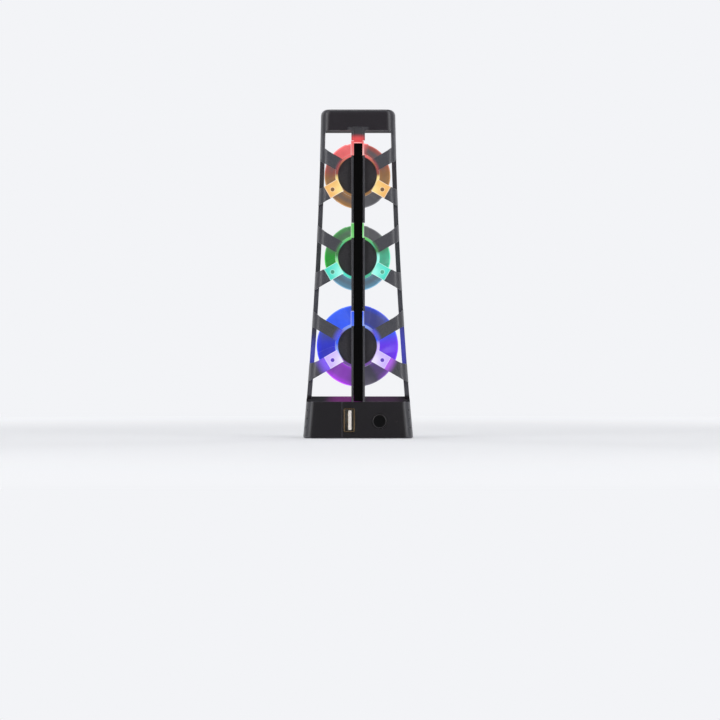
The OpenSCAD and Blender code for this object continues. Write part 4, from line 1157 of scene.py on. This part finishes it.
def screw_tree() -> bpy.types.NodeTree:
    """Builds the tree that sets a cross-head screw on each point of a mesh.

    Returns:
        The tree. A point is the middle of a head's face, and its attribute length is the whole screw's.
    """
    tree = Group("cross_head_screws", "GeometryNodeTree",
                 {"Geometry": "Geometry", "Head Radius": "Float", "Head Height": "Float",
                  "Shank Radius": "Float", "Facing": "Vector", "Material": "Material"},
                 {"Geometry": "Geometry"})
    given = tree.entry
    head_r, head_h = given["Head Radius"], given["Head Height"]
    part = tree.call("GeometryNodeMeshCircle", {"Vertices": 40, "Radius": head_r}, fill_type="NGON")
    steps = 5
    for i in range(steps):
        rise = math.sin(math.pi / 2 * (i + 1) / steps) - math.sin(math.pi / 2 * i / steps)
        below, above = (1 - 0.2 * (1 - math.cos(math.pi / 2 * k / steps)) for k in (i, i + 1))
        shrink = above / below
        up = tree.node("GeometryNodeExtrudeMesh", mode="FACES")
        tree.put(up.inputs["Mesh"], part)
        tree.put(up.inputs["Offset"], (0.0, 0.0, 1.0))
        tree.put(up.inputs["Offset Scale"], tree.times(head_h, rise))
        if i:
            tree.put(up.inputs["Selection"], top)
        top = up.outputs["Top"]
        part = tree.call("GeometryNodeScaleElements",
                         {"Geometry": up.outputs["Mesh"], "Selection": top, "Scale": shrink})
    head = tree.call("GeometryNodeTransform", {"Geometry": part, "Translation": tree.combine(
        0.0, 0.0, tree.times(head_h, -1.0))})
    wing = tree.times(head_r, 1.25)
    slit = tree.times(head_r, 0.3)
    deep = tree.times(head_h, 1.1)
    cuts = [tree.call("GeometryNodeMeshCube", {"Size": tree.combine(a, b, deep)})
            for a, b in ((wing, slit), (slit, wing))]
    cut = tree.node("GeometryNodeMeshBoolean", operation="DIFFERENCE")
    tree.put(cut.inputs["Mesh 1"], head)
    for bar in cuts:
        tree.tree.links.new(bar, cut.inputs["Mesh 2"])
    shank = tree.call("GeometryNodeMeshCylinder", {"Vertices": 24, "Side Segments": 1,
                                                   "Radius": given["Shank Radius"], "Depth": 1.0})
    low = tree.call("GeometryNodeTransform", {"Geometry": shank, "Translation": (0.0, 0.0, -0.5)})
    length = tree.call("GeometryNodeInputNamedAttribute", {"Name": "length"}, "Attribute")
    spare = tree.math("SUBTRACT", length, tree.times(head_h, 0.8))
    heads = tree.call("GeometryNodeInstanceOnPoints", {
        "Points": given["Geometry"], "Instance": cut.outputs["Mesh"], "Rotation": given["Facing"]})
    shanks = tree.call("GeometryNodeInstanceOnPoints", {
        "Points": given["Geometry"], "Instance": low, "Rotation": given["Facing"],
        "Scale": tree.combine(1.0, 1.0, spare)})
    sunk = tree.node("GeometryNodeTranslateInstances")
    tree.put(sunk.inputs["Instances"], shanks)
    tree.put(sunk.inputs["Translation"], tree.combine(0.0, 0.0, tree.times(head_h, -0.8)))
    screws = tree.node("GeometryNodeJoinGeometry")
    for part in (heads, sunk.outputs["Instances"]):
        tree.tree.links.new(part, screws.inputs["Geometry"])
    # A unit shank is stretched along its own axis, so its instance is moved in its own space
    sunk.inputs["Local Space"].default_value = True
    real = tree.call("GeometryNodeRealizeInstances", {"Geometry": screws.outputs["Geometry"]})
    done = tree.call("GeometryNodeSetMaterial", {"Geometry": real, "Material": given["Material"]})
    tree.put(tree.exit["Geometry"], done)
    return tree.tree


class Facing(Enum):
    """Which way a screw's head looks, as the turn of a screw made along Z."""

    REAR = (math.pi / 2, 0.0, 0.0)
    SEAT = (-math.pi / 2, 0.0, 0.0)


@dataclass
class ScrewSet:
    """Screws of one size, where the CAD node has them."""

    node: str
    facing: Facing
    head_r: float
    head_h: float
    shank_r: float

    def build(self, tree: bpy.types.NodeTree, material: bpy.types.Material) -> bpy.types.Object:
        """Builds the screws.

        Args:
            tree: the screw tree.
            material: their metal.

        Returns:
            The piece.
        """
        boxes = islands(self.node)
        rear = self.facing is Facing.REAR
        points = [((low.x + high.x) / 2, low.y if rear else high.y, (low.z + high.z) / 2)
                  for low, high in boxes]
        mesh = bpy.data.meshes.new(self.node + "_cross_head")
        mesh.from_pydata(points, [], [])
        lengths = mesh.attributes.new("length", "FLOAT", "POINT")
        lengths.data.foreach_set("value", [high.y - low.y for low, high in boxes])
        mesh.materials.append(material)
        piece = new_piece(mesh.name, mesh)
        give_inputs(piece, tree, {
            "Head Radius": self.head_r, "Head Height": self.head_h, "Shank Radius": self.shank_r,
            "Facing": self.facing.value, "Material": material})
        settle(piece)
        return piece


@dataclass
class Fan:
    """One lit fan: its clear base, label, rotor and motor."""

    place: FanPlace
    blade_count: int = 9
    blade_t: float = 0.7 * MM
    blade_span: float = math.radians(42)
    blade_sweep: float = math.radians(12)
    blade_bow: float = 0.9 * MM
    hub_wall: float = 1.15 * MM
    disc_r: float = 12.5 * MM
    edge: float = 0.16 * MM
    centre: Vector = field(init=False)

    def __post_init__(self) -> None:
        """Reads the fan's axis off its joint."""
        joint = next(j for j in frame["joints"] if j["name"] == self.place.value + "_fan_spin")
        self.centre = Vector(joint["pos_m"])

    def node(self, part: str) -> str:
        """Gives the name of one of the fan's nodes."""
        return f"{self.place.value}_fan_{part}"

    def build_base(self, label: bpy.types.Material) -> None:
        """Builds the clear base and dresses its label.

        Args:
            label: the label's material.
        """
        label_r = reach(self.node("label"), self.centre)
        tab_end_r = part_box(self.node("base"))[1].z - self.centre.z
        lit = LitClear(self.node("clear"), tuple(self.centre), LIGHTS[self.place], label_r, self.disc_r,
                       tab_end_r)
        base = refined(self.node("lit_base"), self.node("base"), self.edge,
                       [lit.build(), lit.build(edge=True)], edge=1)
        hand_over(base, "housing", "clear_base", self.node("base"))
        disc = refined(self.node("plain_disc"), self.node("label"), 0.05 * MM, [label])
        hand_over(disc, "housing", "dark_label", self.node("label"))

    def hub_mesh(self, radius: float, low: float, high: float) -> bpy.types.Mesh:
        """Builds the hub: a round-edged cup, open towards the base, with a shallow dish in its closed end.

        Args:
            radius: outer radius.
            low: Y of the open rim.
            high: Y of the closed end.

        Returns:
            The mesh.
        """
        wall, ease, dish_r, dish = self.hub_wall, 0.5 * MM, 0.62 * radius, 0.25 * MM
        profile = [(0.0, high - dish), (dish_r, high - dish), (dish_r + dish, high)]
        profile += corner(radius - ease, high - ease, ease, 0)[::-1]
        profile += [(radius, low + 0.15 * MM), (radius - 0.15 * MM, low), (radius - wall, low)]
        profile += [(radius - wall, high - wall), (0.0, high - wall)]
        return lathe(self.node("hub"), profile, self.centre)

    def build_rotor(self, blades: bpy.types.NodeTree) -> None:
        """Builds the rotor out of its hub and its blades.

        Args:
            blades: the blade tree.
        """
        node = self.node("impeller")
        low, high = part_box(node)
        tip_r = reach(node, self.centre)
        hub_r = reach(self.node("rotor_cup"), self.centre) + self.hub_wall
        lit = LitBlades(self.node("smoky_clear"), tuple(self.centre), LIGHTS[self.place], tip_r,
                        hub_r).build()
        sheets = new_piece(self.node("blades"), bpy.data.meshes.new(self.node("blades")))
        rise = 7.0 * MM
        give_inputs(sheets, blades, {
            "Count": self.blade_count, "Root Radius": hub_r - self.hub_wall / 2,
            "Tip Radius": tip_r - 0.02 * MM, "Height": rise, "Span": self.blade_span,
            "Sweep": self.blade_sweep, "Bow": self.blade_bow,
            "Centre": (self.centre.x, low.y + 0.5 * MM + rise / 2, self.centre.z), "Material": lit})
        thick = sheets.modifiers.new("thickness", "SOLIDIFY")
        thick.thickness = self.blade_t
        thick.offset = 0
        add_bevel(sheets, 0.14 * MM)
        settle(sheets)
        whole = joined(self.node("rotor"), [sheets.data, self.hub_mesh(hub_r, low.y, high.y)])
        piece = new_piece(self.node("rotor"), whole)
        piece.data.materials.append(lit)
        smooth_shade(piece.data)
        bpy.data.objects.remove(sheets)
        hand_over(piece, self.place.value + "_rotor", "clear_blades", node)

    def build_motor(self, finishes: dict[str, bpy.types.Material]) -> None:
        """Dresses the parts inside the hub.

        Args:
            finishes: the materials by name.
        """
        colour = LIGHTS[self.place].tabs[0].inner
        dress(self.node("leds"), LitDiode(self.node("diode"), colour).build())
        for part, name in (("board", "circuit_board"), ("stator_core", "motor_steel"),
                           ("coils", "copper_wire"), ("bearing", "bronze_bearing"), ("shaft", "motor_steel"),
                           ("rotor_cup", "motor_steel"), ("magnet", "ferrite"),
                           ("retaining_ring", "dark_screw_steel"), ("lead", "wire_insulation")):
            dress(self.node(part), finishes[name])

    def build(self, blades: bpy.types.NodeTree, finishes: dict[str, bpy.types.Material]) -> None:
        """Builds the whole fan.

        Args:
            blades: the blade tree.
            finishes: the materials by name.
        """
        self.build_base(finishes["dark_label"])
        self.build_rotor(blades)
        self.build_motor(finishes)


@dataclass
class Housing:
    """The black frame with its covers, its wire cover and its screws."""

    edge: float = 0.2 * MM
    cover_edge: float = 0.3 * MM
    gloss: float = 0.3
    flat_roughness: float = 0.48
    round_roughness: float = 0.36
    roof_roughness: float = 0.93
    coat_ior: float = 1.65
    round_start: float = -27.98 * MM
    round_full: float = -27.2 * MM
    # Share of white in the painted sheen on the rounded edges and walls
    round_painted_sheen: float = 0.7
    coat_full: float = -25 * MM
    coat_end: float = -22 * MM
    face_full: float = -25.5 * MM
    face_end: float = -24 * MM
    rail_full: float = -14.5 * MM
    rail_end: float = -16 * MM
    roof_front: float = -27.4 * MM
    roof_full: float = -26.6 * MM
    seam_x: float = -9 * MM
    seam_w: float = 0.7 * MM
    seam_soft: float = 0.15 * MM
    rib_w: float = 7.8 * MM
    rib_soft: float = 0.3 * MM
    box_high: float = 10.9 * MM
    arm_low: float = 14 * MM
    arm_high: float = 160 * MM
    rib_tint: Colour = (207, 205, 207)
    # Colour of the painted highlight along the box's seam
    seam_painted_highlight: Colour = (190, 184, 188)
    box_tint: Colour = (104, 96, 100)
    block_tint: Colour = (150, 138, 144)
    outward: float = 0.4

    def tinted(self, made: Surface, worn: object, round_off: object) -> bpy.types.NodeSocket:
        """Tints the plastic: darker on the box, the block and the rib, with a painted sheen that keeps the
        rounded edges and walls paler than the flat rear face, and a painted highlight along the box's seam.

        Args:
            made: the housing's surface.
            worn: the plain plastic's colour.
            round_off: 1 on everything that isn't the flat rear face.

        Returns:
            The tinted colour.
        """
        x, _, z = made.separate(made.place)
        above = made.ease(z, self.arm_low - MM, self.arm_low + MM)
        below = made.ease(z, self.arm_high + MM, self.arm_high - MM)
        tint = made.blend(above, linear(self.box_tint), WHITE)
        tint = made.blend(below, linear(self.block_tint), tint)
        # Painted sheen: off the flat rear face, the rounded edges and walls lose most of the darker tint
        tint = made.blend(made.times(round_off, self.round_painted_sheen), tint, WHITE)
        rib = made.ease(made.math("ABSOLUTE", x), self.rib_w / 2 + self.rib_soft, self.rib_w / 2)
        rib = made.times(rib, made.times(above, below))
        tint = made.blend(rib, tint, made.blend(1.0, tint, linear(self.rib_tint), "MULTIPLY"))
        # Painted highlight along the seam's groove on the box
        off_seam = made.math("ABSOLUTE", made.math("SUBTRACT", x, self.seam_x))
        seam = made.ease(off_seam, self.seam_w / 2 + self.seam_soft, self.seam_w / 2)
        seam = made.times(seam, made.ease(z, self.box_high, self.box_high - 0.5 * MM))
        tint = made.blend(seam, tint, linear(self.seam_painted_highlight))
        return made.blend(1.0, worn, tint, "MULTIPLY")

    def spilt(self, made: Surface, fans: Sequence[Fan], zones: dict[Zone, object]) -> object:
        """Adds up the light that the fans throw on the housing.

        Args:
            made: the housing's surface.
            fans: the fans that light it.
            zones: how far each zone shows at a point.

        Returns:
            The light's colour.
        """
        total = BLACK
        for fan in fans:
            centre = tuple(fan.centre)
            radius = made.axis(centre)["Radius"]
            for spill in LIGHTS[fan.place].spill:
                glow = made.lobes(BLACK, centre, (Lobe(spill.heading, spill.spread, spill.colour),))
                near = made.times(made.ease(radius, spill.far, spill.near, 0.0, spill.share),
                                  made.ease(radius, spill.start - MM, spill.start))
                total = made.blend(made.times(near, zones[spill.zone]), total, glow, "ADD")
        return total

    def shell_material(self, fans: Sequence[Fan]) -> bpy.types.Material:
        """Builds the housing's plastic, with the fans' light spilt on it.

        Args:
            fans: the fans that light it.

        Returns:
            The material.
        """
        made = Plastic("black_housing", (80, 80, 86), grain=0.7 * MM, depth=0.012 * MM, shade=0.34).surface()
        worn = made.shader["Base Color"].links[0].from_socket
        _, y, z = made.separate(made.place)
        roof = made.times(made.ease(z, self.arm_low + 0.6 * MM, self.arm_low),
                          made.ease(y, self.roof_front, self.roof_full))
        roof = made.times(roof, made.ease(z, self.box_high - 0.4 * MM, self.box_high))
        round_off = made.times(made.math("SUBTRACT", 1.0, roof),
                               made.ease(y, self.round_start, self.round_full))
        made.feed("Base Color", self.tinted(made, worn, round_off))
        smoother = self.round_roughness - self.flat_roughness
        rough = made.math("MULTIPLY_ADD", round_off, smoother, self.flat_roughness)
        rougher = self.roof_roughness - self.flat_roughness
        made.feed("Roughness", made.math("MULTIPLY_ADD", roof, rougher, rough))
        made.feed("Coat Weight", made.times(round_off, made.ease(y, self.coat_end, self.coat_full)))
        made.feed("Coat Roughness", self.round_roughness)
        made.feed("Coat IOR", self.coat_ior)
        made.feed("Specular IOR Level", self.gloss)
        turned = made.node("ShaderNodeAttribute", attribute_name=INWARD).outputs["Fac"]
        zones = {Zone.FACE: made.ease(y, self.face_end, self.face_full),
                 Zone.RAIL: made.times(turned, made.ease(y, self.rail_end, self.rail_full)), Zone.ROOF: roof}
        made.feed("Emission Color", self.spilt(made, fans, zones))
        made.feed("Emission Strength", 1.0)
        return made.material

    def screw_material(self, fans: Sequence[Fan]) -> bpy.types.Material:
        """Builds the metal of the fan screws, with each fan's light in it.

        Args:
            fans: the fans that light it.

        Returns:
            The material.
        """
        made = Metal("lit_screw_steel", (110, 110, 116), (70, 70, 74), roughness=0.35).surface()
        total = BLACK
        for fan in fans:
            axis = made.axis(tuple(fan.centre))
            near = made.ease(axis["Radius"], 24 * MM, 20 * MM)
            glow = made.blend(axis["Ripple"], BLACK, linear(LIGHTS[fan.place].screw))
            total = made.blend(near, total, glow, "ADD")
        made.feed("Emission Color", total)
        made.feed("Emission Strength", 1.4)
        return made.material

    def build(self, fans: Sequence[Fan], screws: bpy.types.NodeTree,
              finishes: dict[str, bpy.types.Material]) -> None:
        """Builds the frame, its covers and their screws.

        Args:
            fans: the fans in it.
            screws: the screw tree.
            finishes: the materials by name.
        """
        shell = refined("housing_frame", "rear_housing", self.edge, [self.shell_material(fans)], segments=3)
        inward = shell.data.attributes.new(INWARD, "FLOAT", "FACE")
        for side in shell.data.polygons:
            outer = side.normal.x * side.center.x > self.outward * abs(side.center.x)
            inward.data[side.index].value = 0.0 if outer else 1.0
        hand_over(shell, "housing", "black_housing", "rear_housing")
        strip = refined("wire_cover", "wire_cover_strip", self.edge, [finishes["dark_strip"]])
        hand_over(strip, "housing", "dark_strip", "wire_cover_strip")
        for name, node in (("box_cover", "control_box_cover"), ("hook_cover", "top_cover")):
            cover = refined(name, node, self.cover_edge, [finishes["black_cover"]])
            hand_over(cover, "housing", "black_housing", node)
        for sort, metal in (
                (ScrewSet("fan_screws", Facing.REAR, 1.15 * MM, 0.7 * MM, 0.7 * MM),
                 self.screw_material(fans)),
                (ScrewSet("cover_screws", Facing.SEAT, 1.9 * MM, 1.1 * MM, 1.0 * MM),
                 finishes["dark_screw_steel"])):
            hand_over(sort.build(screws, metal), "housing", "dark_screw_steel", sort.node)


@dataclass
class ControlBox:
    """The box at the foot: socket, plug, button, status light and the board with its parts."""

    shell_edge: float = 0.1 * MM
    button_dish: float = 0.05 * MM

    def socket_material(self, box: tuple[Vector, Vector]) -> bpy.types.Material:
        """Builds the socket's metal, bright at its lip, with painted shade inside the shell.

        Args:
            box: the lowest and highest corner of the shell.

        Returns:
            The material.
        """
        made = Metal("socket_metal", (176, 150, 116), (140, 116, 86), roughness=0.3).surface()
        lip = made.shader["Base Color"].links[0].from_socket
        _, y, _ = made.separate(made.place)
        # Painted shade inside the shell: darker and less metallic away from its lip
        inside = made.ease(y, box[0].y + 0.15 * MM, box[0].y + 0.9 * MM)
        made.feed("Base Color", made.blend(inside, lip, linear((48, 40, 36))))
        made.feed("Metallic", made.math("MULTIPLY_ADD", inside, -0.6, 1.0))
        return made.material

    def build_connectors(self, finishes: dict[str, bpy.types.Material]) -> None:
        """Builds the socket and the plug.

        Args:
            finishes: the materials by name.
        """
        metal = self.socket_material(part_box("usb_port_shell"))
        socket = refined("socket_shell", "usb_port_shell", self.shell_edge, [metal])
        hand_over(socket, "housing", "nickel_shell", "usb_port_shell")
        for name, node, width, finish, slot in (
                ("socket_tongue", "usb_port_tongue", 0.15 * MM, "white_tongue", "white_tongue"),
                ("socket_contacts", "usb_port_contacts", 0.05 * MM, "gold_contact", "gold_contact"),
                ("plug_shell", "usb_plug_shell", self.shell_edge, "nickel_shell", "nickel_shell"),
                ("plug_insulator", "usb_plug_insulator", 0.15 * MM, "black_component", "black_component"),
                ("plug_contacts", "usb_plug_contacts", 0.05 * MM, "gold_contact", "gold_contact")):
            hand_over(refined(name, node, width, [finishes[finish]]), "housing", slot, node)

    def button_material(self, centre: Vector, flat_r: float) -> bpy.types.Material:
        """Builds the button's plastic: a matt black face inside a polished rounded rim, whose paler colour is
        a painted highlight.

        Args:
            centre: a point on the button's axis.
            flat_r: radius at which the rounded rim starts.

        Returns:
            The material.
        """
        made = Plastic("button_black", (13, 13, 14), roughness=0.5, grain=0.4 * MM,
                       depth=0.003 * MM).surface()
        face = made.shader["Base Color"].links[0].from_socket
        radius = made.axis(tuple(centre))["Radius"]
        # Painted highlight: the rounded rim is paler than the face
        rim = made.ease(radius, flat_r - 0.1 * MM, flat_r + 0.25 * MM)
        made.feed("Base Color", made.blend(rim, face, linear((72, 69, 71))))
        made.feed("Roughness", made.math("MULTIPLY_ADD", rim, -0.28, 0.5))
        made.feed("Coat Weight", rim)
        made.feed("Coat Roughness", 0.22)
        made.feed("Specular IOR Level", 0.08)
        return made.material

    def build_button(self) -> None:
        """Builds the button: a cap with a rounded rim, a flange behind the wall and a stem."""
        low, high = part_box("power_button")
        centre = (low + high) / 2
        flange_r = (high.x - low.x) / 2
        cap_r, stem_r = flange_r - 0.7 * MM, 1.9 * MM
        ease = 0.6 * MM
        flange_y = low.y + 1.7 * MM
        cap_end = low.y + 4.2 * MM
        profile = [(0.0, low.y + self.button_dish)]
        profile += [(cap_r * share, low.y + self.button_dish * (1 - share ** 2))
                    for share in (0.3, 0.55, 0.75)]
        profile += corner(cap_r - ease, low.y + ease, ease, 3)
        profile += [(cap_r, flange_y), (flange_r, flange_y), (flange_r, flange_y + MM),
                    (cap_r, flange_y + MM), (cap_r, cap_end), (stem_r, cap_end), (stem_r, high.y),
                    (0.0, high.y)]
        mesh = lathe("button_cap", profile, centre)
        mesh.materials.append(self.button_material(centre, cap_r - ease))
        piece = new_piece("button_cap", mesh)
        smooth_shade(mesh)
        hand_over(piece, "button", "gloss_black", "power_button")

    def build(self, finishes: dict[str, bpy.types.Material]) -> None:
        """Builds the box's parts.

        Args:
            finishes: the materials by name.
        """
        self.build_connectors(finishes)
        self.build_button()
        for node, name in (("main_board", "circuit_board"), ("board_components", "black_component"),
                           ("lead_sockets", "cream_plastic"), ("status_light", "light_pipe"),
                           ("switch_body", "black_component"), ("switch_plunger", "cream_plastic")):
            dress(node, finishes[name])


@dataclass(frozen=True)
class Lamp:
    """A soft box that looks at the unit."""

    name: str
    azimuth: float
    height: float
    distance: float
    size: tuple[float, float]
    power: float
    shines: bool = True

    def build(self, target: Vector) -> None:
        """Builds the lamp.

        Args:
            target: the point that it looks at.
        """
        data = bpy.data.lights.new(self.name, "AREA")
        data.shape = "RECTANGLE"
        data.size, data.size_y = self.size
        data.energy = self.power
        made = bpy.data.objects.new(self.name, data)
        bpy.context.scene.collection.objects.link(made)
        angle = math.radians(self.azimuth)
        made.location = target + Vector((math.sin(angle), -math.cos(angle), 0.0)) * self.distance
        made.location.z = target.z + self.height
        made.rotation_euler = (made.location - target).to_track_quat("Z", "Y").to_euler()
        made.visible_glossy = self.shines


@dataclass
class Studio:
    """Pale floor, soft light, white surround and the camera."""

    scale: float = 0.56 * MM
    distance: float = 2.2
    frame_px: int = 720
    axis_px: float = 358.15
    plug_px: float = 420.9
    sensor: float = 36.0
    lamps: tuple[Lamp, ...] = (
        Lamp("left_softbox", -40, 0.0, 1.1, (0.5, 1.3), 6.5),
        Lamp("right_softbox", 40, 0.0, 1.1, (0.5, 1.3), 6.5),
        Lamp("front_fill", -12, 0.35, 1.6, (0.9, 0.9), 0.8, shines=False),
        Lamp("top_softbox", 0, 1.2, 0.25, (0.9, 0.5), 6.0),
        Lamp("rear_left_softbox", -140, 0.25, 1.2, (0.5, 1.0), 5.0, shines=False),
        Lamp("rear_right_softbox", 140, 0.25, 1.2, (0.5, 1.0), 5.0, shines=False))
    backdrop: Colour = (243, 244, 247)
    floor: Colour = (238, 239, 242)
    floor_glow: float = 0.19
    floor_near: float = 0.25
    floor_far: float = 0.9

    def build_camera(self) -> None:
        """Places the camera square to the rear face, as far off as the photograph's frame needs."""
        data = bpy.data.cameras.new("camera")
        data.sensor_width = self.sensor
        data.lens = self.sensor * self.distance / (self.scale * self.frame_px)
        data.clip_start, data.clip_end = 0.05, 50
        made = bpy.data.objects.new("camera", data)
        middle = self.frame_px / 2
        rear = cad_box[0].y
        made.location = ((middle - self.axis_px) * self.scale, rear - self.distance,
                         (self.plug_px - middle) * self.scale)
        made.rotation_euler = (math.pi / 2, 0.0, 0.0)
        bpy.context.scene.collection.objects.link(made)
        bpy.context.scene.camera = made

    def build_floor(self) -> None:
        """Lays a wide round floor under the unit, which keeps its shadow."""
        mesh = bpy.data.meshes.new("studio_floor")
        work = bmesh.new()
        bmesh.ops.create_circle(work, cap_ends=True, segments=96, radius=6.0)
        for vert in work.verts:
            vert.co.z = cad_box[0].z - 0.1 * MM
        work.to_mesh(mesh)
        work.free()
        made = Surface("pale_floor")
        grain = made.grain(4 * MM)
        length = made.vector("LENGTH", made.place, output="Value")
        away = made.ease(length, self.floor_near, self.floor_far)
        dull = [c * 0.985 for c in linear(self.floor)[:3]] + [1.0]
        pale = made.blend(grain["Shade"], dull, linear(self.floor))
        made.feed("Base Color", made.blend(away, pale, BLACK))
        made.feed("Roughness", 0.8)
        made.feed("Specular IOR Level", made.math("MULTIPLY_ADD", away, -0.3, 0.3))
        rays = made.node("ShaderNodeLightPath").outputs
        seen = made.math("MAXIMUM", rays["Is Camera Ray"], rays["Is Transmission Ray"])
        made.feed("Emission Color", linear(self.backdrop))
        shown = made.math("MULTIPLY_ADD", away, 1 - self.floor_glow, self.floor_glow)
        made.feed("Emission Strength", made.times(seen, shown))
        mesh.materials.append(made.material)
        new_piece("studio_floor", mesh)

    def build_world(self) -> None:
        """Makes the surround white where it is seen, and dimmer where it only shines."""
        world = bpy.data.worlds.new("studio")
        bpy.context.scene.world = world
        world.use_nodes = True
        graph = Graph(world.node_tree)
        rays = graph.node("ShaderNodeLightPath").outputs
        seen = graph.math("MAXIMUM", rays["Is Camera Ray"], rays["Is Transmission Ray"])
        _, y, _ = graph.separate(graph.node("ShaderNodeTexCoord").outputs["Generated"])
        behind = graph.ease(y, -0.2, 0.6, 0.05, 0.85)
        plain = graph.times(graph.math("SUBTRACT", 1.0, rays["Is Glossy Ray"]), 0.16)
        soft = graph.math("MULTIPLY_ADD", rays["Is Glossy Ray"], behind, plain)
        strength = graph.math("MAXIMUM", seen, soft)
        back = world.node_tree.nodes["Background"].inputs
        graph.put(back["Strength"], strength)
        back["Color"].default_value = linear(self.backdrop)

    def build(self) -> None:
        """Builds the studio round the unit."""
        bpy.context.scene.view_settings.view_transform = "Standard"
        self.build_camera()
        self.build_floor()
        self.build_world()
        middle = (cad_box[0] + cad_box[1]) / 2
        for lamp in self.lamps:
            lamp.build(middle)


def build_finishes() -> dict[str, bpy.types.Material]:
    """Builds the plain finishes.

    Returns:
        The materials by name.
    """
    sorts = (
        Plastic("black_cover", (46, 44, 47), roughness=0.45, depth=0.015 * MM),
        Plastic("dark_strip", (9, 9, 9), roughness=0.7, grain=0.2 * MM, depth=0.004 * MM, specular=0.03),
        Plastic("dark_label", (54, 52, 56), roughness=0.6, grain=0.6 * MM, depth=0.02 * MM, shade=0.3,
                specular=0.3),
        Plastic("black_component", (38, 38, 40), roughness=0.45, grain=0.2 * MM, depth=0.01 * MM),
        Plastic("cream_plastic", (228, 220, 200), roughness=0.4, depth=0.01 * MM, shade=0.06),
        Plastic("light_pipe", (42, 38, 41), roughness=0.15, depth=0.002 * MM, shade=0.05),
        Plastic("white_tongue", (250, 244, 236), roughness=0.35, grain=0.2 * MM, depth=0.006 * MM,
                shade=0.05),
        Plastic("wire_insulation", (34, 34, 34), roughness=0.5, grain=0.25 * MM, depth=0.01 * MM),
        Plastic("ferrite", (72, 70, 68), roughness=0.7, grain=0.18 * MM, depth=0.02 * MM, shade=0.3),
        Metal("dark_screw_steel", (110, 110, 116), (70, 70, 74), roughness=0.35),
        Metal("nickel_shell", (206, 196, 178), (150, 140, 124), roughness=0.28),
        Metal("gold_contact", (226, 186, 104), (184, 146, 78), roughness=0.25),
        Metal("motor_steel", (176, 178, 182), (140, 142, 146), roughness=0.35),
        Metal("bronze_bearing", (186, 146, 92), (140, 106, 64), roughness=0.45),
        CircuitBoard("circuit_board"),
        Windings("copper_wire"))
    return {sort.name: sort.build() for sort in sorts}


def main() -> None:
    """Builds the studio, then the unit from its frame outwards."""
    logging.basicConfig(level=logging.INFO, format="%(name)s: %(message)s")
    Studio().build()
    finishes = build_finishes()
    fans = [Fan(place) for place in FanPlace]
    Housing().build(fans, screw_tree(), finishes)
    blades = blade_tree()
    for fan in fans:
        fan.build(blades, finishes)
    ControlBox().build(finishes)


if __name__ == "__main__":
    main()
